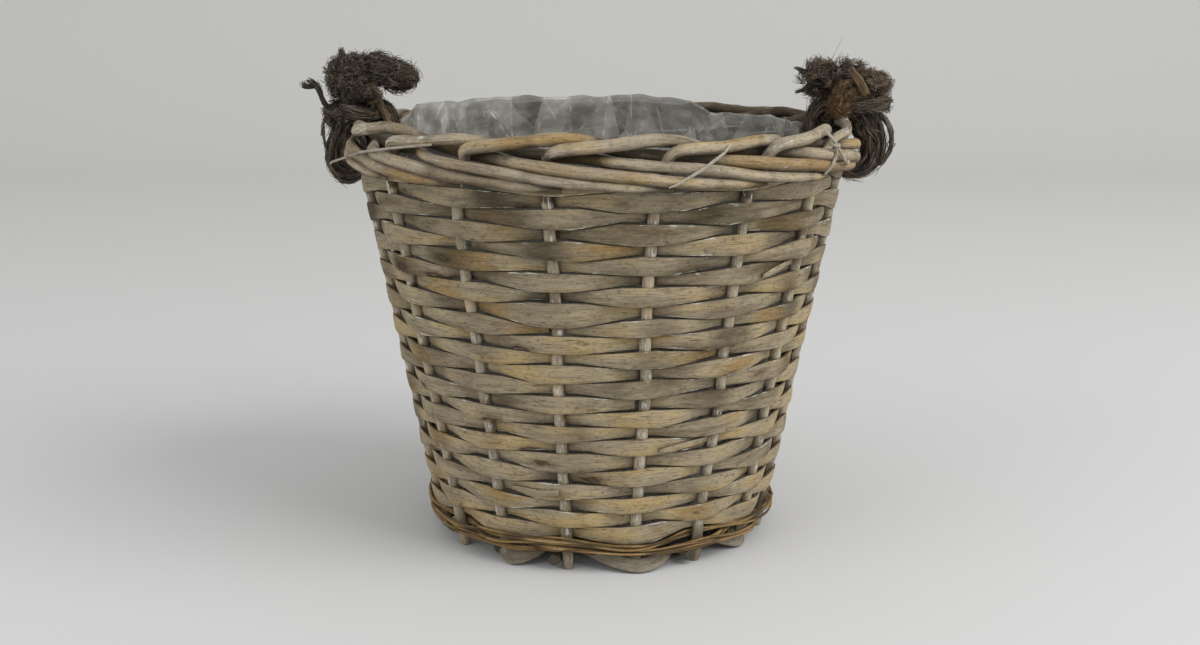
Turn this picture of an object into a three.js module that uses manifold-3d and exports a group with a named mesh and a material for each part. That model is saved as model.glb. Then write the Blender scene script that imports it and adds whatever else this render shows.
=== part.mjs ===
// Round wicker planter with two knotted rope ears.
// Millimetres, +Z up. The origin is on the ground under the middle of the basket.
// The ears are at -X and +X. Angles round the basket are measured from the front (-Y) towards +X.
import * as THREE from 'three';
import { mergeVertices } from 'three/addons/utils/BufferGeometryUtils.js';
import Module from 'manifold-3d';

// Driving dimensions

// Upright stakes: willow rods that stand on the ground and turn over at the top as the border
const STAKES_PER_QUARTER = 4;
const STAKE_DIAMETER = 4.8;
const FOOT_RADIUS = 83.2;
const WALL_LEAN_DEGREES = 11.15;

// Border: the stakes bent over to the right, each one behind the next stake and then down the front
const BORDER_ROD_DIAMETER = 5.2;
const BORDER_STEP_OUT = 0.4;

// Woven wall: split willow strips, over one stake and under the next. A row starts at a stake,
// and the next row a few stakes further on.
const ROW_COUNT = 23;
const ROW_PITCH = 7.56;
const STRIP_THICKNESS = 1.8;
const STRIP_SWELL = 1.1;
const STRIP_END_GAP = 6;
const FIRST_ROW_START = 5;
const ROW_START_STEP = 3;
const ROW_GAP = 0.5;
const FILLER_HEIGHT = 3.0;

// Wale: three thin round rods, over two stakes and under one
const WALE_ROD_COUNT = 3;
const WALE_ROD_DIAMETER = 2.3;
const WALE_START_STEP = 5;

// Base: two layers of sticks crossing in the middle and opened out like spokes, with two flat weavers.
// The sticks open out between the crossing and a ring at a share of the foot's radius.
const BASE_STICK_DIAMETER = 5.4;
const BASE_CROWN = 2.2;
const BASE_STICK_OVERHANG = 4.8;
const WEAVER_WIDTH = 6.4;
const WEAVER_THICKNESS = 1.6;
const WEAVER_TURNS = 1.5;
const SPOKE_RING_SHARE = 0.58;

// Film liner: thin film in flat plates between creases. The corners of the plates are uneven by a share
// of the pleats' depth, a height, and a share of a column. The edge is higher along part of the back.
const FILM_THICKNESS = 0.5;
const FILM_PLEATS = 20;
const PLEAT_DEPTH = 6;
const SHALLOW_PLEAT = 0.2;
const PLEAT_UNEVENNESS = 0.3;
const PLATE_ROWS = 6;
const PLATE_RISE = 4;
const PLATE_SHIFT = 0.25;
const FILM_BELOW_RIM = 10;
const FILM_BACK_BELOW_RIM = 2;
const FILM_BACK_MIDDLE_DEGREES = 202;
const FILM_BACK_END_DEGREES = 45;
const FILM_BACK_FALL_DEGREES = 12;

// Rope ears: each goes round the bundle of border rods. The bundle's middle is given in rod steps
// below the bend and outwards of the stake circle, and its half width in rod steps.
const ROPE_THICKNESS = 9;
const ROPE_WIDTH = 14;
const LOOP_SLACK = 1.2;
const SQUEEZED_ROWS = 8;
const BUNDLE_STEPS_DOWN = 1.4;
const BUNDLE_STEPS_OUT = 0.2;
const BUNDLE_STEPS_WIDE = 1.75;

// Clearance between pieces that touch on the real basket
const CLEARANCE = 0.32;

// Worked out from the driving dimensions

const STAKE_COUNT = 4 * STAKES_PER_QUARTER;
const SPACING = (2 * Math.PI) / STAKE_COUNT;
const STAKE_RADIUS = STAKE_DIAMETER / 2;
const BORDER_ROD_RADIUS = BORDER_ROD_DIAMETER / 2;
const WALE_ROD_RADIUS = WALE_ROD_DIAMETER / 2;
const BASE_STICK_RADIUS = BASE_STICK_DIAMETER / 2;
const LEAN = THREE.MathUtils.degToRad(WALL_LEAN_DEGREES);

// The base sticks are high enough for a weaver to pass under them and still clear the ground.
// Near a spoke the weaver is inclined, so its swing is a little more than the straight sum.
const SPOKE_RING_RADIUS = SPOKE_RING_SHARE * FOOT_RADIUS;
const WEAVER_STRAIGHT_SWING = BASE_STICK_RADIUS + CLEARANCE + WEAVER_THICKNESS / 2;
const WEAVER_SLOPE = Math.atan((2 * WEAVER_STRAIGHT_SWING) / (SPOKE_RING_RADIUS * SPACING));
const WEAVER_SWING = WEAVER_STRAIGHT_SWING / Math.cos(WEAVER_SLOPE);
const STICK_END_Z = WEAVER_SWING + WEAVER_THICKNESS / 2 + CLEARANCE;

const WALE_BOTTOM = STICK_END_Z + BASE_STICK_RADIUS + CLEARANCE;
const WALE_PITCH = WALE_ROD_DIAMETER + CLEARANCE;
const WALL_BOTTOM = WALE_BOTTOM + WALE_ROD_COUNT * WALE_PITCH;
const WALL_TOP = WALL_BOTTOM + ROW_COUNT * ROW_PITCH;
const FILLER_TOP = WALL_TOP + ROW_GAP / 2 + FILLER_HEIGHT;
const BORDER_RADIUS = stakeLine(FILLER_TOP) + BORDER_STEP_OUT;

// One border rod and the clearance to the next: the unit of the border's weave
const ROD_STEP = BORDER_ROD_DIAMETER + CLEARANCE;

// How one border rod runs: stakes passed, steps outwards of the stake circle, steps above the bend.
// It bends over to the right and rises in an arch, goes down inside the next two stakes, comes out
// under the third one's arch and runs down along the front.
const BORDER_ROUTE = [
  [0.0, 0.0, -1.9],
  [0.05, 0.0, -1.45],
  [0.15, 0.0, -0.98],
  [0.3, 0.04, -0.62],
  [0.5, 0.0, -0.28],
  [0.75, -0.15, 0.08],
  [1.0, -0.3, 0.22],
  [1.25, -0.8, 0.1],
  [1.5, -1.12, -0.18],
  [1.75, -1.12, -0.46],
  [2.0, -1.12, -0.72],
  [2.25, -1.06, -1.0],
  [2.45, -0.62, -1.27],
  [2.6, 0.0, -1.36],
  [2.8, 0.8, -1.55],
  [3.0, 1.08, -1.82],
  [3.5, 1.1, -2.5],
  [4.0, 1.08, -3.15],
  [4.2, 1.08, -3.38],
];
const BORDER_DROP = -Math.min(...BORDER_ROUTE.map((stop) => stop[2])) * ROD_STEP;
const BORDER_RISE = Math.max(...BORDER_ROUTE.map((stop) => stop[2])) * ROD_STEP;
const BORDER_REACH_IN = -Math.min(...BORDER_ROUTE.map((stop) => stop[1])) * ROD_STEP;
const BEND_Z = FILLER_TOP + CLEARANCE + BORDER_DROP + BORDER_ROD_RADIUS;
const RIM_Z = BEND_Z + BORDER_RISE + BORDER_ROD_RADIUS;

// Radial offset of a strip or rod that passes in front of a leaning stake (or behind it, negative).
// A straight facet between two stakes needs a little more than the sum of the sizes.
const FACET_ALLOWANCE = 0.15;
const STRIP_OFFSET = (STAKE_RADIUS + CLEARANCE + STRIP_THICKNESS / 2) / Math.cos(LEAN) + FACET_ALLOWANCE;
const WALE_OFFSET = (STAKE_RADIUS + CLEARANCE + WALE_ROD_RADIUS) / Math.cos(LEAN) + FACET_ALLOWANCE;

// The rope goes round the border's rods between two stakes.
const EAR_Z = BEND_Z - BUNDLE_STEPS_DOWN * ROD_STEP;
const EAR_X = BORDER_RADIUS + BUNDLE_STEPS_OUT * ROD_STEP;
const BUNDLE_RADIUS = BUNDLE_STEPS_WIDE * ROD_STEP + BORDER_ROD_RADIUS;
const LOOP_INNER_RADIUS = BUNDLE_RADIUS + LOOP_SLACK;
const LOOP_RADIUS = LOOP_INNER_RADIUS + ROPE_THICKNESS / 2;
const LOOP_OUTER_RADIUS = LOOP_RADIUS + ROPE_THICKNESS / 2;
const EAR_ROOM_Z = EAR_Z - LOOP_OUTER_RADIUS - CLEARANCE;
const SQUEEZE = Math.max(0, (WALL_TOP - EAR_ROOM_Z) / (SQUEEZED_ROWS * ROW_PITCH));

// Colours of the real materials
const COLOURS = {
  stake: 0x9b8b6f,
  strip: 0x94866d,
  wale: 0x9a7443,
  baseStick: 0x7d7361,
  baseWeaver: 0x857a68,
  film: 0xb9bab6,
  rope: 0x2e2722,
};

// Radius of the stakes' centre circle at height z, up the leaning wall
function stakeLine(z) {
  return FOOT_RADIUS + z * Math.tan(LEAN);
}

// Point at an angle from the front, a radius and a height
function polar(angle, radius, z) {
  return new THREE.Vector3(radius * Math.sin(angle), -radius * Math.cos(angle), z);
}

function stakeAngle(index) {
  return (index + 0.5) * SPACING;
}

// Closed body through a row of rings that hold the same number of points, with flat ends.
// otherDiagonal says for each face, by its ring and side, which way the face is folded.
function bodyFromRings(rings, otherDiagonal = () => false) {
  const sides = rings[0].length;
  const positions = rings.flat().flatMap((point) => [point.x, point.y, point.z]);
  const indices = [];
  for (let ring = 0; ring + 1 < rings.length; ring += 1) {
    for (let side = 0; side < sides; side += 1) {
      const next = (side + 1) % sides;
      const a = ring * sides + side;
      const b = ring * sides + next;
      if (otherDiagonal(ring, side)) {
        indices.push(a, b, a + sides, b, b + sides, a + sides);
      } else {
        indices.push(a, b, b + sides, a, b + sides, a + sides);
      }
    }
  }
  const last = (rings.length - 1) * sides;
  for (let side = 1; side + 1 < sides; side += 1) {
    indices.push(0, side + 1, side, last, last + side, last + side + 1);
  }
  const geometry = new THREE.BufferGeometry();
  geometry.setAttribute('position', new THREE.Float32BufferAttribute(positions, 3));
  geometry.setIndex(indices);
  return facingOut(geometry);
}

// The same geometry with its faces turned outwards
function facingOut(geometry) {
  const position = geometry.getAttribute('position');
  const index = geometry.getIndex();
  const corner = [0, 1, 2].map(() => new THREE.Vector3());
  let volume = 0;
  for (let face = 0; face < index.count; face += 3) {
    corner.forEach((point, side) => point.fromBufferAttribute(position, index.getX(face + side)));
    volume += corner[0].dot(corner[1].clone().cross(corner[2])) / 6;
  }
  if (volume < 0) {
    const flipped = [];
    for (let face = 0; face < index.count; face += 3) {
      flipped.push(index.getX(face), index.getX(face + 2), index.getX(face + 1));
    }
    geometry.setIndex(flipped);
  }
  return geometry;
}

// Round rod through points: a ring of sides square to the path at each point, without twist.
// radii is one radius or one for each point; startAlong is the direction at the first point.
function rodGeometry(points, radii, sides, startAlong) {
  const along = points.map((point, index) => {
    const before = points[Math.max(index - 1, 0)];
    const after = points[Math.min(index + 1, points.length - 1)];
    return after.clone().sub(before).normalize();
  });
  if (startAlong) {
    along[0] = startAlong;
  }
  let across = new THREE.Vector3(points[0].x, points[0].y, 0).normalize();
  const rings = points.map((point, index) => {
    across = across.clone().addScaledVector(along[index], -across.dot(along[index])).normalize();
    const third = along[index].clone().cross(across);
    const radius = Array.isArray(radii) ? radii[index] : radii;
    return Array.from({ length: sides }, (_, side) => {
      const turn = (side / sides) * 2 * Math.PI;
      return point
        .clone()
        .addScaledVector(across, radius * Math.cos(turn))
        .addScaledVector(third, radius * Math.sin(turn));
    });
  });
  return bodyFromRings(rings);
}

const planter = new THREE.Group();

// Adds one named piece with a material of its own
function addPiece(name, geometry, colour, roughness = 0.85, parent = planter) {
  const material = new THREE.MeshStandardMaterial({ color: colour, roughness, metalness: 0 });
  const mesh = new THREE.Mesh(geometry, material);
  mesh.name = name;
  parent.add(mesh);
  return mesh;
}

function numbered(name, index) {
  return `${name}_${String(index + 1).padStart(2, '0')}`;
}

// Stakes and border

// One rod: straight up the leaning wall, then over and along the border
function stakeGeometry(index) {
  const angle = stakeAngle(index);
  const points = [polar(angle, stakeLine(0), 0), polar(angle, stakeLine(FILLER_TOP), FILLER_TOP)];
  const radii = [STAKE_RADIUS, STAKE_RADIUS];
  for (const [passed, outwards, upwards] of BORDER_ROUTE) {
    const radius = BORDER_RADIUS + outwards * ROD_STEP;
    points.push(polar(angle + passed * SPACING, radius, BEND_Z + upwards * ROD_STEP));
    radii.push(BORDER_ROD_RADIUS);
  }
  const rodSides = 6;
  return rodGeometry(points, radii, rodSides, new THREE.Vector3(0, 0, 1));
}

for (let index = 0; index < STAKE_COUNT; index += 1) {
  addPiece(numbered('stake', index), stakeGeometry(index), COLOURS.stake);
}

// Woven wall

// How far the rows are pressed down under a rope ear: 1 at the ear, 0 from two stakes away
function earSqueeze(angle) {
  const flat = SPACING / 6;
  const fade = SPACING;
  const fromEar = Math.abs(Math.abs(THREE.MathUtils.euclideanModulo(angle, Math.PI)) - Math.PI / 2);
  const share = THREE.MathUtils.clamp((fromEar - flat) / fade, 0, 1);
  return Math.cos((share * Math.PI) / 2) ** 2;
}

// Height of the bottom edge of a row at an angle: the top rows are thinner beside the ears
function rowBottom(row, angle) {
  const squeezedBelow = Math.max(0, row - (ROW_COUNT - SQUEEZED_ROWS));
  return WALL_BOTTOM + row * ROW_PITCH - squeezedBelow * ROW_PITCH * SQUEEZE * earSqueeze(angle);
}

// Cross-section of a strip that leans with the wall: its two faces lie offset from the stake line
function stripSection(angle, offset, low, high) {
  const half = STRIP_THICKNESS / 2;
  return [
    polar(angle, stakeLine(low) + offset - half, low),
    polar(angle, stakeLine(low) + offset + half, low),
    polar(angle, stakeLine(high) + offset + half, high),
    polar(angle, stakeLine(high) + offset - half, high),
  ];
}

// Places along a strip, counted in stakes: its two ends, and every stake and middle between them
function stripPlaces(from, to) {
  const places = [from];
  for (let place = (Math.floor(2 * from) + 1) / 2; place < to; place += 0.5) {
    places.push(place);
  }
  places.push(to);
  return places;
}

// One strip all the way round. Its ends butt behind a stake, and it is widest where it crosses one.
function rowGeometry(row) {
  const start = (FIRST_ROW_START + ROW_START_STEP * row) % STAKE_COUNT;
  const endGap = STRIP_END_GAP / 2 / (SPACING * stakeLine(WALL_BOTTOM));
  const places = stripPlaces(start + endGap, start + STAKE_COUNT - endGap);
  const rings = places.map((place) => {
    const angle = stakeAngle(place);
    const wave = -Math.cos((place - start) * Math.PI);
    const low = rowBottom(row, angle) + ROW_GAP / 2;
    const high = rowBottom(row + 1, angle) - ROW_GAP / 2;
    const swell = (STRIP_SWELL / 2) * wave * wave;
    const bottomSwell = row === 0 ? 0 : swell;
    const topSwell = row === ROW_COUNT - 1 ? 0 : swell;
    return stripSection(angle, STRIP_OFFSET * wave, low - bottomSwell, high + topSwell);
  });
  return bodyFromRings(rings);
}

for (let row = 0; row < ROW_COUNT; row += 1) {
  addPiece(numbered('weave_row', row), rowGeometry(row), COLOURS.strip);
}

// Filler strips close the slot under the border, front and back, and stop short of the ears.
function fillerGeometry(firstStake) {
  const overhang = 0.12;
  const lastStake = firstStake + STAKE_COUNT / 2 - 1;
  const rings = stripPlaces(firstStake - overhang, lastStake + overhang).map((place) => {
    const wave = -Math.cos((place - ROW_COUNT - 1) * Math.PI);
    const low = WALL_TOP + ROW_GAP / 2;
    return stripSection(stakeAngle(place), STRIP_OFFSET * wave, low, FILLER_TOP);
  });
  return bodyFromRings(rings);
}

addPiece('rim_filler_front', fillerGeometry(-STAKES_PER_QUARTER), COLOURS.strip);
addPiece('rim_filler_back', fillerGeometry(STAKES_PER_QUARTER), COLOURS.strip);

// Wale

function waleGeometry(layer) {
  const z = WALE_BOTTOM + (layer + 0.5) * WALE_PITCH;
  const endGap = STRIP_END_GAP / 2 / (SPACING * stakeLine(z));
  const start = WALE_START_STEP * layer;
  const side = (stake) => ((stake - start) % 3 === 0 ? -1 : 1);
  const points = stripPlaces(start + endGap, start + STAKE_COUNT - endGap).map((place) => {
    const mean = (side(Math.floor(place)) + side(Math.ceil(place))) / 2;
    const offset = Number.isInteger(place) || place % 1 === 0.5 ? mean : side(Math.round(place));
    return polar(stakeAngle(place), stakeLine(z) + offset * WALE_OFFSET, z);
  });
  const waleSides = 4;
  return rodGeometry(points, WALE_ROD_RADIUS, waleSides);
}

for (let layer = 0; layer < WALE_ROD_COUNT; layer += 1) {
  addPiece(`wale_rod_${layer + 1}`, waleGeometry(layer), COLOURS.wale);
}

// Base

// A base stick ends on the left of a stake, clear of it.
const STICK_SIDE_ANGLE = Math.asin((STAKE_RADIUS + BASE_STICK_RADIUS + 2 * CLEARANCE) / stakeLine(0));
const STICK_END_RADIUS = stakeLine(STICK_END_Z) + BASE_STICK_OVERHANG;

function stickEndAngle(end) {
  return stakeAngle(end) - STICK_SIDE_ANGLE;
}

// Height of the sticks' centres at a radius: a low dome, so that the basket stands on its edge
function spokeHeight(radius) {
  return STICK_END_Z + BASE_CROWN * (1 - radius / STICK_END_RADIUS);
}

// A group of sticks lies side by side in the middle and opens out into spokes at both ends.
function baseStickGeometry(firstEnd, count, place, layer) {
  const pitch = BASE_STICK_DIAMETER + CLEARANCE;
  const middleAngle = stickEndAngle(firstEnd) + ((count - 1) / 2) * SPACING;
  const fan = (place - (count - 1) / 2) * SPACING;
  const sideways = (place - (count - 1) / 2) * pitch;
  const straight = (Math.max(count, STAKE_COUNT / 2 - count) / 2) * pitch + BASE_STICK_RADIUS;
  const centreZ = spokeHeight(0) + layer * pitch;
  const forwards = polar(middleAngle, 1, 0);
  const across = polar(middleAngle + Math.PI / 2, 1, 0);
  const middle = (distance) =>
    forwards.clone().multiplyScalar(distance).addScaledVector(across, sideways).setZ(centreZ);
  const nearAngle = middleAngle + fan;
  const farAngle = middleAngle + Math.PI - fan;
  const points = [
    polar(farAngle, STICK_END_RADIUS, spokeHeight(STICK_END_RADIUS)),
    polar(farAngle, SPOKE_RING_RADIUS, spokeHeight(SPOKE_RING_RADIUS)),
    middle(-straight),
    middle(straight),
    polar(nearAngle, SPOKE_RING_RADIUS, spokeHeight(SPOKE_RING_RADIUS)),
    polar(nearAngle, STICK_END_RADIUS, spokeHeight(STICK_END_RADIUS)),
  ];
  const stickSides = 6;
  return rodGeometry(points, BASE_STICK_RADIUS, stickSides);
}

const LOWER_STICKS = Math.ceil(STAKE_COUNT / 4);
const UPPER_STICKS = STAKE_COUNT / 2 - LOWER_STICKS;
for (let place = 0; place < LOWER_STICKS; place += 1) {
  const geometry = baseStickGeometry(0, LOWER_STICKS, place, 0);
  addPiece(`base_stick_lower_${place + 1}`, geometry, COLOURS.baseStick);
}
for (let place = 0; place < UPPER_STICKS; place += 1) {
  const geometry = baseStickGeometry(LOWER_STICKS, UPPER_STICKS, place, 1);
  addPiece(`base_stick_upper_${place + 1}`, geometry, COLOURS.baseStick);
}

// A flat weaver winds inwards over and under the spokes; the second one lies between its turns.
const WEAVER_OUTER_RADIUS =
  stakeLine(0) - STAKE_RADIUS - WALE_ROD_DIAMETER - 2 * CLEARANCE - WEAVER_WIDTH / 2;
const WEAVER_STEP_IN = 2 * (WEAVER_WIDTH + CLEARANCE);

function weaverGeometry(startSpoke, firstSide) {
  const rings = [];
  for (let place = 0; place <= WEAVER_TURNS * STAKE_COUNT; place += 0.5) {
    const angle = stickEndAngle(startSpoke + place);
    const radius = WEAVER_OUTER_RADIUS - (WEAVER_STEP_IN * place) / STAKE_COUNT;
    const swing = firstSide * Math.cos(place * Math.PI) * WEAVER_SWING;
    const inner = radius - WEAVER_WIDTH / 2;
    const outer = radius + WEAVER_WIDTH / 2;
    const z = spokeHeight(radius) + swing;
    const half = WEAVER_THICKNESS / 2;
    rings.push([
      polar(angle, inner, z - half),
      polar(angle, outer, z - half),
      polar(angle, outer, z + half),
      polar(angle, inner, z + half),
    ]);
  }
  return bodyFromRings(rings);
}

addPiece('base_weaver_a', weaverGeometry(0, 1), COLOURS.baseWeaver);
addPiece('base_weaver_b', weaverGeometry(STAKE_COUNT / 2, -1), COLOURS.baseWeaver);

// Booleans on closed meshes

const wasm = await Module();
wasm.setup();

function toSolid(geometry) {
  const bare = geometry.clone();
  bare.deleteAttribute('normal');
  bare.deleteAttribute('uv');
  const merged = mergeVertices(bare, 1e-4);
  return new wasm.Manifold(
    new wasm.Mesh({
      numProp: 3,
      vertProperties: new Float32Array(merged.getAttribute('position').array),
      triVerts: new Uint32Array(merged.getIndex().array),
    }),
  );
}

function toGeometry(solid) {
  const mesh = solid.getMesh();
  const geometry = new THREE.BufferGeometry();
  geometry.setAttribute('position', new THREE.BufferAttribute(mesh.vertProperties, 3));
  geometry.setIndex(new THREE.BufferAttribute(mesh.triVerts, 1));
  return geometry;
}

// Film liner: an open cup inside the wall, standing on the crossed sticks

const CROSSING_TOP =
  spokeHeight(0) + BASE_STICK_DIAMETER + CLEARANCE + BASE_STICK_RADIUS;
const FILM_FLOOR_Z = Math.max(CROSSING_TOP, WALL_BOTTOM) + CLEARANCE;
const WALL_INSIDE = STRIP_OFFSET + STRIP_THICKNESS / 2 + CLEARANCE;
const FILM_FLOOR_RADIUS = stakeLine(FILM_FLOOR_Z) - WALL_INSIDE;
const FILM_TOP_RADIUS = BORDER_RADIUS - BORDER_REACH_IN - BORDER_ROD_RADIUS - CLEARANCE;
const PLATE_COLUMNS = 2 * FILM_PLEATS;
const COLUMNS_PER_QUARTER = PLATE_COLUMNS / 4;

// Radius of the wall's inside for the film: up the leaning wall, then straight up inside the border
function filmLine(z) {
  const share = Math.min(1, (z - FILM_FLOOR_Z) / (WALL_TOP - FILM_FLOOR_Z));
  return FILM_FLOOR_RADIUS + share * (FILM_TOP_RADIUS - FILM_FLOOR_RADIUS);
}

// Height of the film's upper edge: high along part of the back, with a steep fall at both ends of it
function filmEdge(angle) {
  const fromMiddle = Math.abs(THREE.MathUtils.radToDeg(angle) - FILM_BACK_MIDDLE_DEGREES);
  const low = FILM_BACK_END_DEGREES + FILM_BACK_FALL_DEGREES;
  const fall = THREE.MathUtils.smoothstep(fromMiddle, FILM_BACK_END_DEGREES, low);
  return RIM_Z - THREE.MathUtils.lerp(FILM_BACK_BELOW_RIM, FILM_BELOW_RIM, fall);
}

// A different value between -1 and 1 for each corner of the plates, and for each kind of unevenness
function uneven(column, row, kind) {
  return Math.sin(2.1 * column + 1.7 * row + kind);
}

// How far a corner of the plates stands off from the wall. Every other column touches the wall.
// Beside the four diagonals, where the corners of a square pot reach nearly to the film, the pleats
// are shallow.
function pleatDepth(column, row) {
  if (column % 2 === 0 || row === 0) {
    return 0;
  }
  const place = column % COLUMNS_PER_QUARTER;
  const besideDiagonal = Math.min(place, COLUMNS_PER_QUARTER - place) === 1;
  const share = 1 - PLEAT_UNEVENNESS + PLEAT_UNEVENNESS * uneven(column, row, 0);
  return PLEAT_DEPTH * share * (besideDiagonal ? SHALLOW_PLEAT : 1);
}

// Corner of the plates. The first column is on a diagonal; rows rise from the floor to the edge.
function filmCorner(column, row, inwards) {
  const shift = column % 2 === 0 ? 0 : PLATE_SHIFT * uneven(column, row, 1);
  const angle = Math.PI / 4 + ((column + shift) * 2 * Math.PI) / PLATE_COLUMNS;
  const wallRows = PLATE_ROWS - 1;
  const rise = row > 0 && row < wallRows ? PLATE_RISE * uneven(column, row, 2) : 0;
  const onWall = THREE.MathUtils.lerp(FILM_FLOOR_Z, WALL_TOP, row / wallRows) + rise;
  const z = row === PLATE_ROWS ? filmEdge(angle % (2 * Math.PI)) : onWall;
  const floorRise = row === 0 ? inwards : 0;
  return polar(angle, filmLine(z) - pleatDepth(column, row) - inwards, z + floorRise);
}

function filmGeometry() {
  const ring = (row, inwards) =>
    Array.from({ length: PLATE_COLUMNS }, (_, column) => filmCorner(column, row, inwards));
  const rows = Array.from({ length: PLATE_ROWS + 1 }, (_, row) => row);
  const outside = rows.map((row) => ring(row, 0));
  const inside = rows.map((row) => ring(row, FILM_THICKNESS)).reverse();
  // Both sides of the film are folded the same way, and neighbouring plates the other way.
  const folded = (index, side) => ((index + side) % 2 === 0) === index < rows.length;
  let cup = toSolid(bodyFromRings([...outside, ...inside], folded));
  for (const sign of [-1, 1]) {
    const room = 2 * CLEARANCE;
    const notchRadius = LOOP_OUTER_RADIUS + room;
    const notch = new THREE.CylinderGeometry(notchRadius, notchRadius, ROPE_WIDTH + 2 * room, 24);
    notch.translate(sign * EAR_X, 0, EAR_Z);
    cup = cup.subtract(toSolid(notch));
  }
  return toGeometry(cup);
}

addPiece('film_liner', filmGeometry(), COLOURS.film, 0.35);

// Rope ears

// Soft masses of a knot and its frayed ends, seen from the front, from the middle of the loop:
// outwards, up, towards the back, then the half sizes in the same directions.
const LEFT_MASSES = [
  [5, 27, 0, 11.5, 12, 12],
  [-6, 29, 1, 13, 11, 13],
  [-18, 27, -1, 10.5, 7.5, 9],
];
const RIGHT_MASSES = [
  [9, 24.5, 0, 13, 10.5, 12],
  [-4, 28, 1, 13, 9.5, 12],
  [-15, 29, 2, 8, 6.5, 8],
  [-12.5, 20, -4, 5, 6.5, 6],
];

// A mass keeps its place beyond the loop when the loop or the rope changes size.
const REFERENCE_LOOP_INNER = 13.5;

function placedMasses(masses) {
  return masses.map(([outwards, up, back, halfOut, halfUp, halfBack]) => {
    const distance = Math.hypot(outwards, up);
    const push = (distance + LOOP_INNER_RADIUS - REFERENCE_LOOP_INNER) / distance;
    return {
      centre: new THREE.Vector3(outwards * push, back, up * push),
      half: new THREE.Vector3(halfOut, halfBack, halfUp),
    };
  });
}

// True where a point lies within the clearance of a mass
function insideMass(point, mass) {
  const local = point.clone().sub(mass.centre);
  const grown = mass.half.clone().addScalar(CLEARANCE);
  return local.divide(grown).length() < 1;
}

// Flat oval ring of rope at an angle from straight up, positive outwards
function ropeSection(angle) {
  const ropeSides = 8;
  return Array.from({ length: ropeSides }, (_, side) => {
    const turn = ((side + 0.5) / ropeSides) * 2 * Math.PI;
    const radius = LOOP_RADIUS + (ROPE_THICKNESS / 2) * Math.cos(turn);
    const back = (ROPE_WIDTH / 2) * Math.sin(turn);
    return new THREE.Vector3(radius * Math.sin(angle), back, radius * Math.cos(angle));
  });
}

// Angle from straight up, to one side, at which the rope comes clear of every mass
function clearAngle(masses, sign) {
  const step = THREE.MathUtils.degToRad(1);
  let last = 0;
  for (let angle = 0; angle < 0.75 * Math.PI; angle += step) {
    const section = ropeSection(sign * angle);
    const touches = section.some((point) => masses.some((mass) => insideMass(point, mass)));
    last = touches ? angle : last;
  }
  return sign * (last + step);
}

function ropeLoopGeometry(masses) {
  const outerEnd = clearAngle(masses, 1);
  const innerEnd = 2 * Math.PI + clearAngle(masses, -1);
  const ringCount = 20;
  const rings = Array.from({ length: ringCount }, (_, ring) =>
    ropeSection(outerEnd + ((innerEnd - outerEnd) * ring) / (ringCount - 1)),
  );
  return bodyFromRings(rings);
}

function knotGeometry(masses) {
  const solids = masses.map((mass) => {
    const ball = new THREE.SphereGeometry(1, 12, 8);
    ball.scale(mass.half.x, mass.half.y, mass.half.z);
    ball.translate(mass.centre.x, mass.centre.y, mass.centre.z);
    return toSolid(ball);
  });
  return toGeometry(solids.reduce((sum, solid) => sum.add(solid)));
}

// An ear is drawn outwards along +X and turned to its own side of the basket.
function addEar(side, masses, turn) {
  const ear = new THREE.Group();
  const placed = placedMasses(masses);
  ear.rotation.z = turn;
  ear.position.set(EAR_X * Math.cos(turn), 0, EAR_Z);
  addPiece(`${side}_rope_loop`, ropeLoopGeometry(placed), COLOURS.rope, 0.95, ear);
  addPiece(`${side}_rope_knot`, knotGeometry(placed), COLOURS.rope, 0.95, ear);
  planter.add(ear);
}

addEar('left', LEFT_MASSES, Math.PI);
addEar('right', RIGHT_MASSES, 0);

export default planter;
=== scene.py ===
# %% [markdown]
# A round wicker planter: split willow strips woven round upright willow stakes, a border made of the
# stakes' own bent tops, a crumpled film liner inside, and two knotted rope ears.
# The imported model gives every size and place. This script dresses it, piece by piece.
# Lengths are in millimetres until a mesh is made, and angles are measured from the front towards +X.

# %% Load the frame
import math

import bpy
import numpy as np
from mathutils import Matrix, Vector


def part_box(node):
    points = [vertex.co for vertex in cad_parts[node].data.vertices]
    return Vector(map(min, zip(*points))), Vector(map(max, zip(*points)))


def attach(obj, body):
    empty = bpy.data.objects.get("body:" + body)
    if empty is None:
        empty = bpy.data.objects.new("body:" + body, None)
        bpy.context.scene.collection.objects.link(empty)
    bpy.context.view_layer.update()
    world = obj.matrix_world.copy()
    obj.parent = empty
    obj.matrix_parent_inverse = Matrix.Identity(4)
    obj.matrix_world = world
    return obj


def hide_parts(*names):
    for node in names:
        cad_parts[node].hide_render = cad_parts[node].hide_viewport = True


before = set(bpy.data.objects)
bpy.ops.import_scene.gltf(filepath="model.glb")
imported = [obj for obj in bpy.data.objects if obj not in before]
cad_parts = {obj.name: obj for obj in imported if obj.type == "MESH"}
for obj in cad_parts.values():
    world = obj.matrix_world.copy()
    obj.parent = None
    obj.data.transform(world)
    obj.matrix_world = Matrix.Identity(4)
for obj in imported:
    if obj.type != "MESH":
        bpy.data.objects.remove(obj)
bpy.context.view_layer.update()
MM = 0.001

# %% [markdown]
# The whole basket follows from a few sizes: sixteen stakes on a circle, leaning outwards as they rise,
# and a point is found by its angle, its distance from the middle and its height.

# %% The basket's sizes
STAKES = 16
SPACING = 2 * math.pi / STAKES
LEAN = math.radians(11.15)
FOOT_RADIUS = 83.2
STAKE_RADIUS = 2.4
ROWS = 23
ROW_PITCH = 7.56
ROW_MARGIN = 0.25


def box_mm(node):
    """Lowest and highest corner of a CAD node, in millimetres"""
    return np.array([list(corner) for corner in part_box(node)]) / MM


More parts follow.
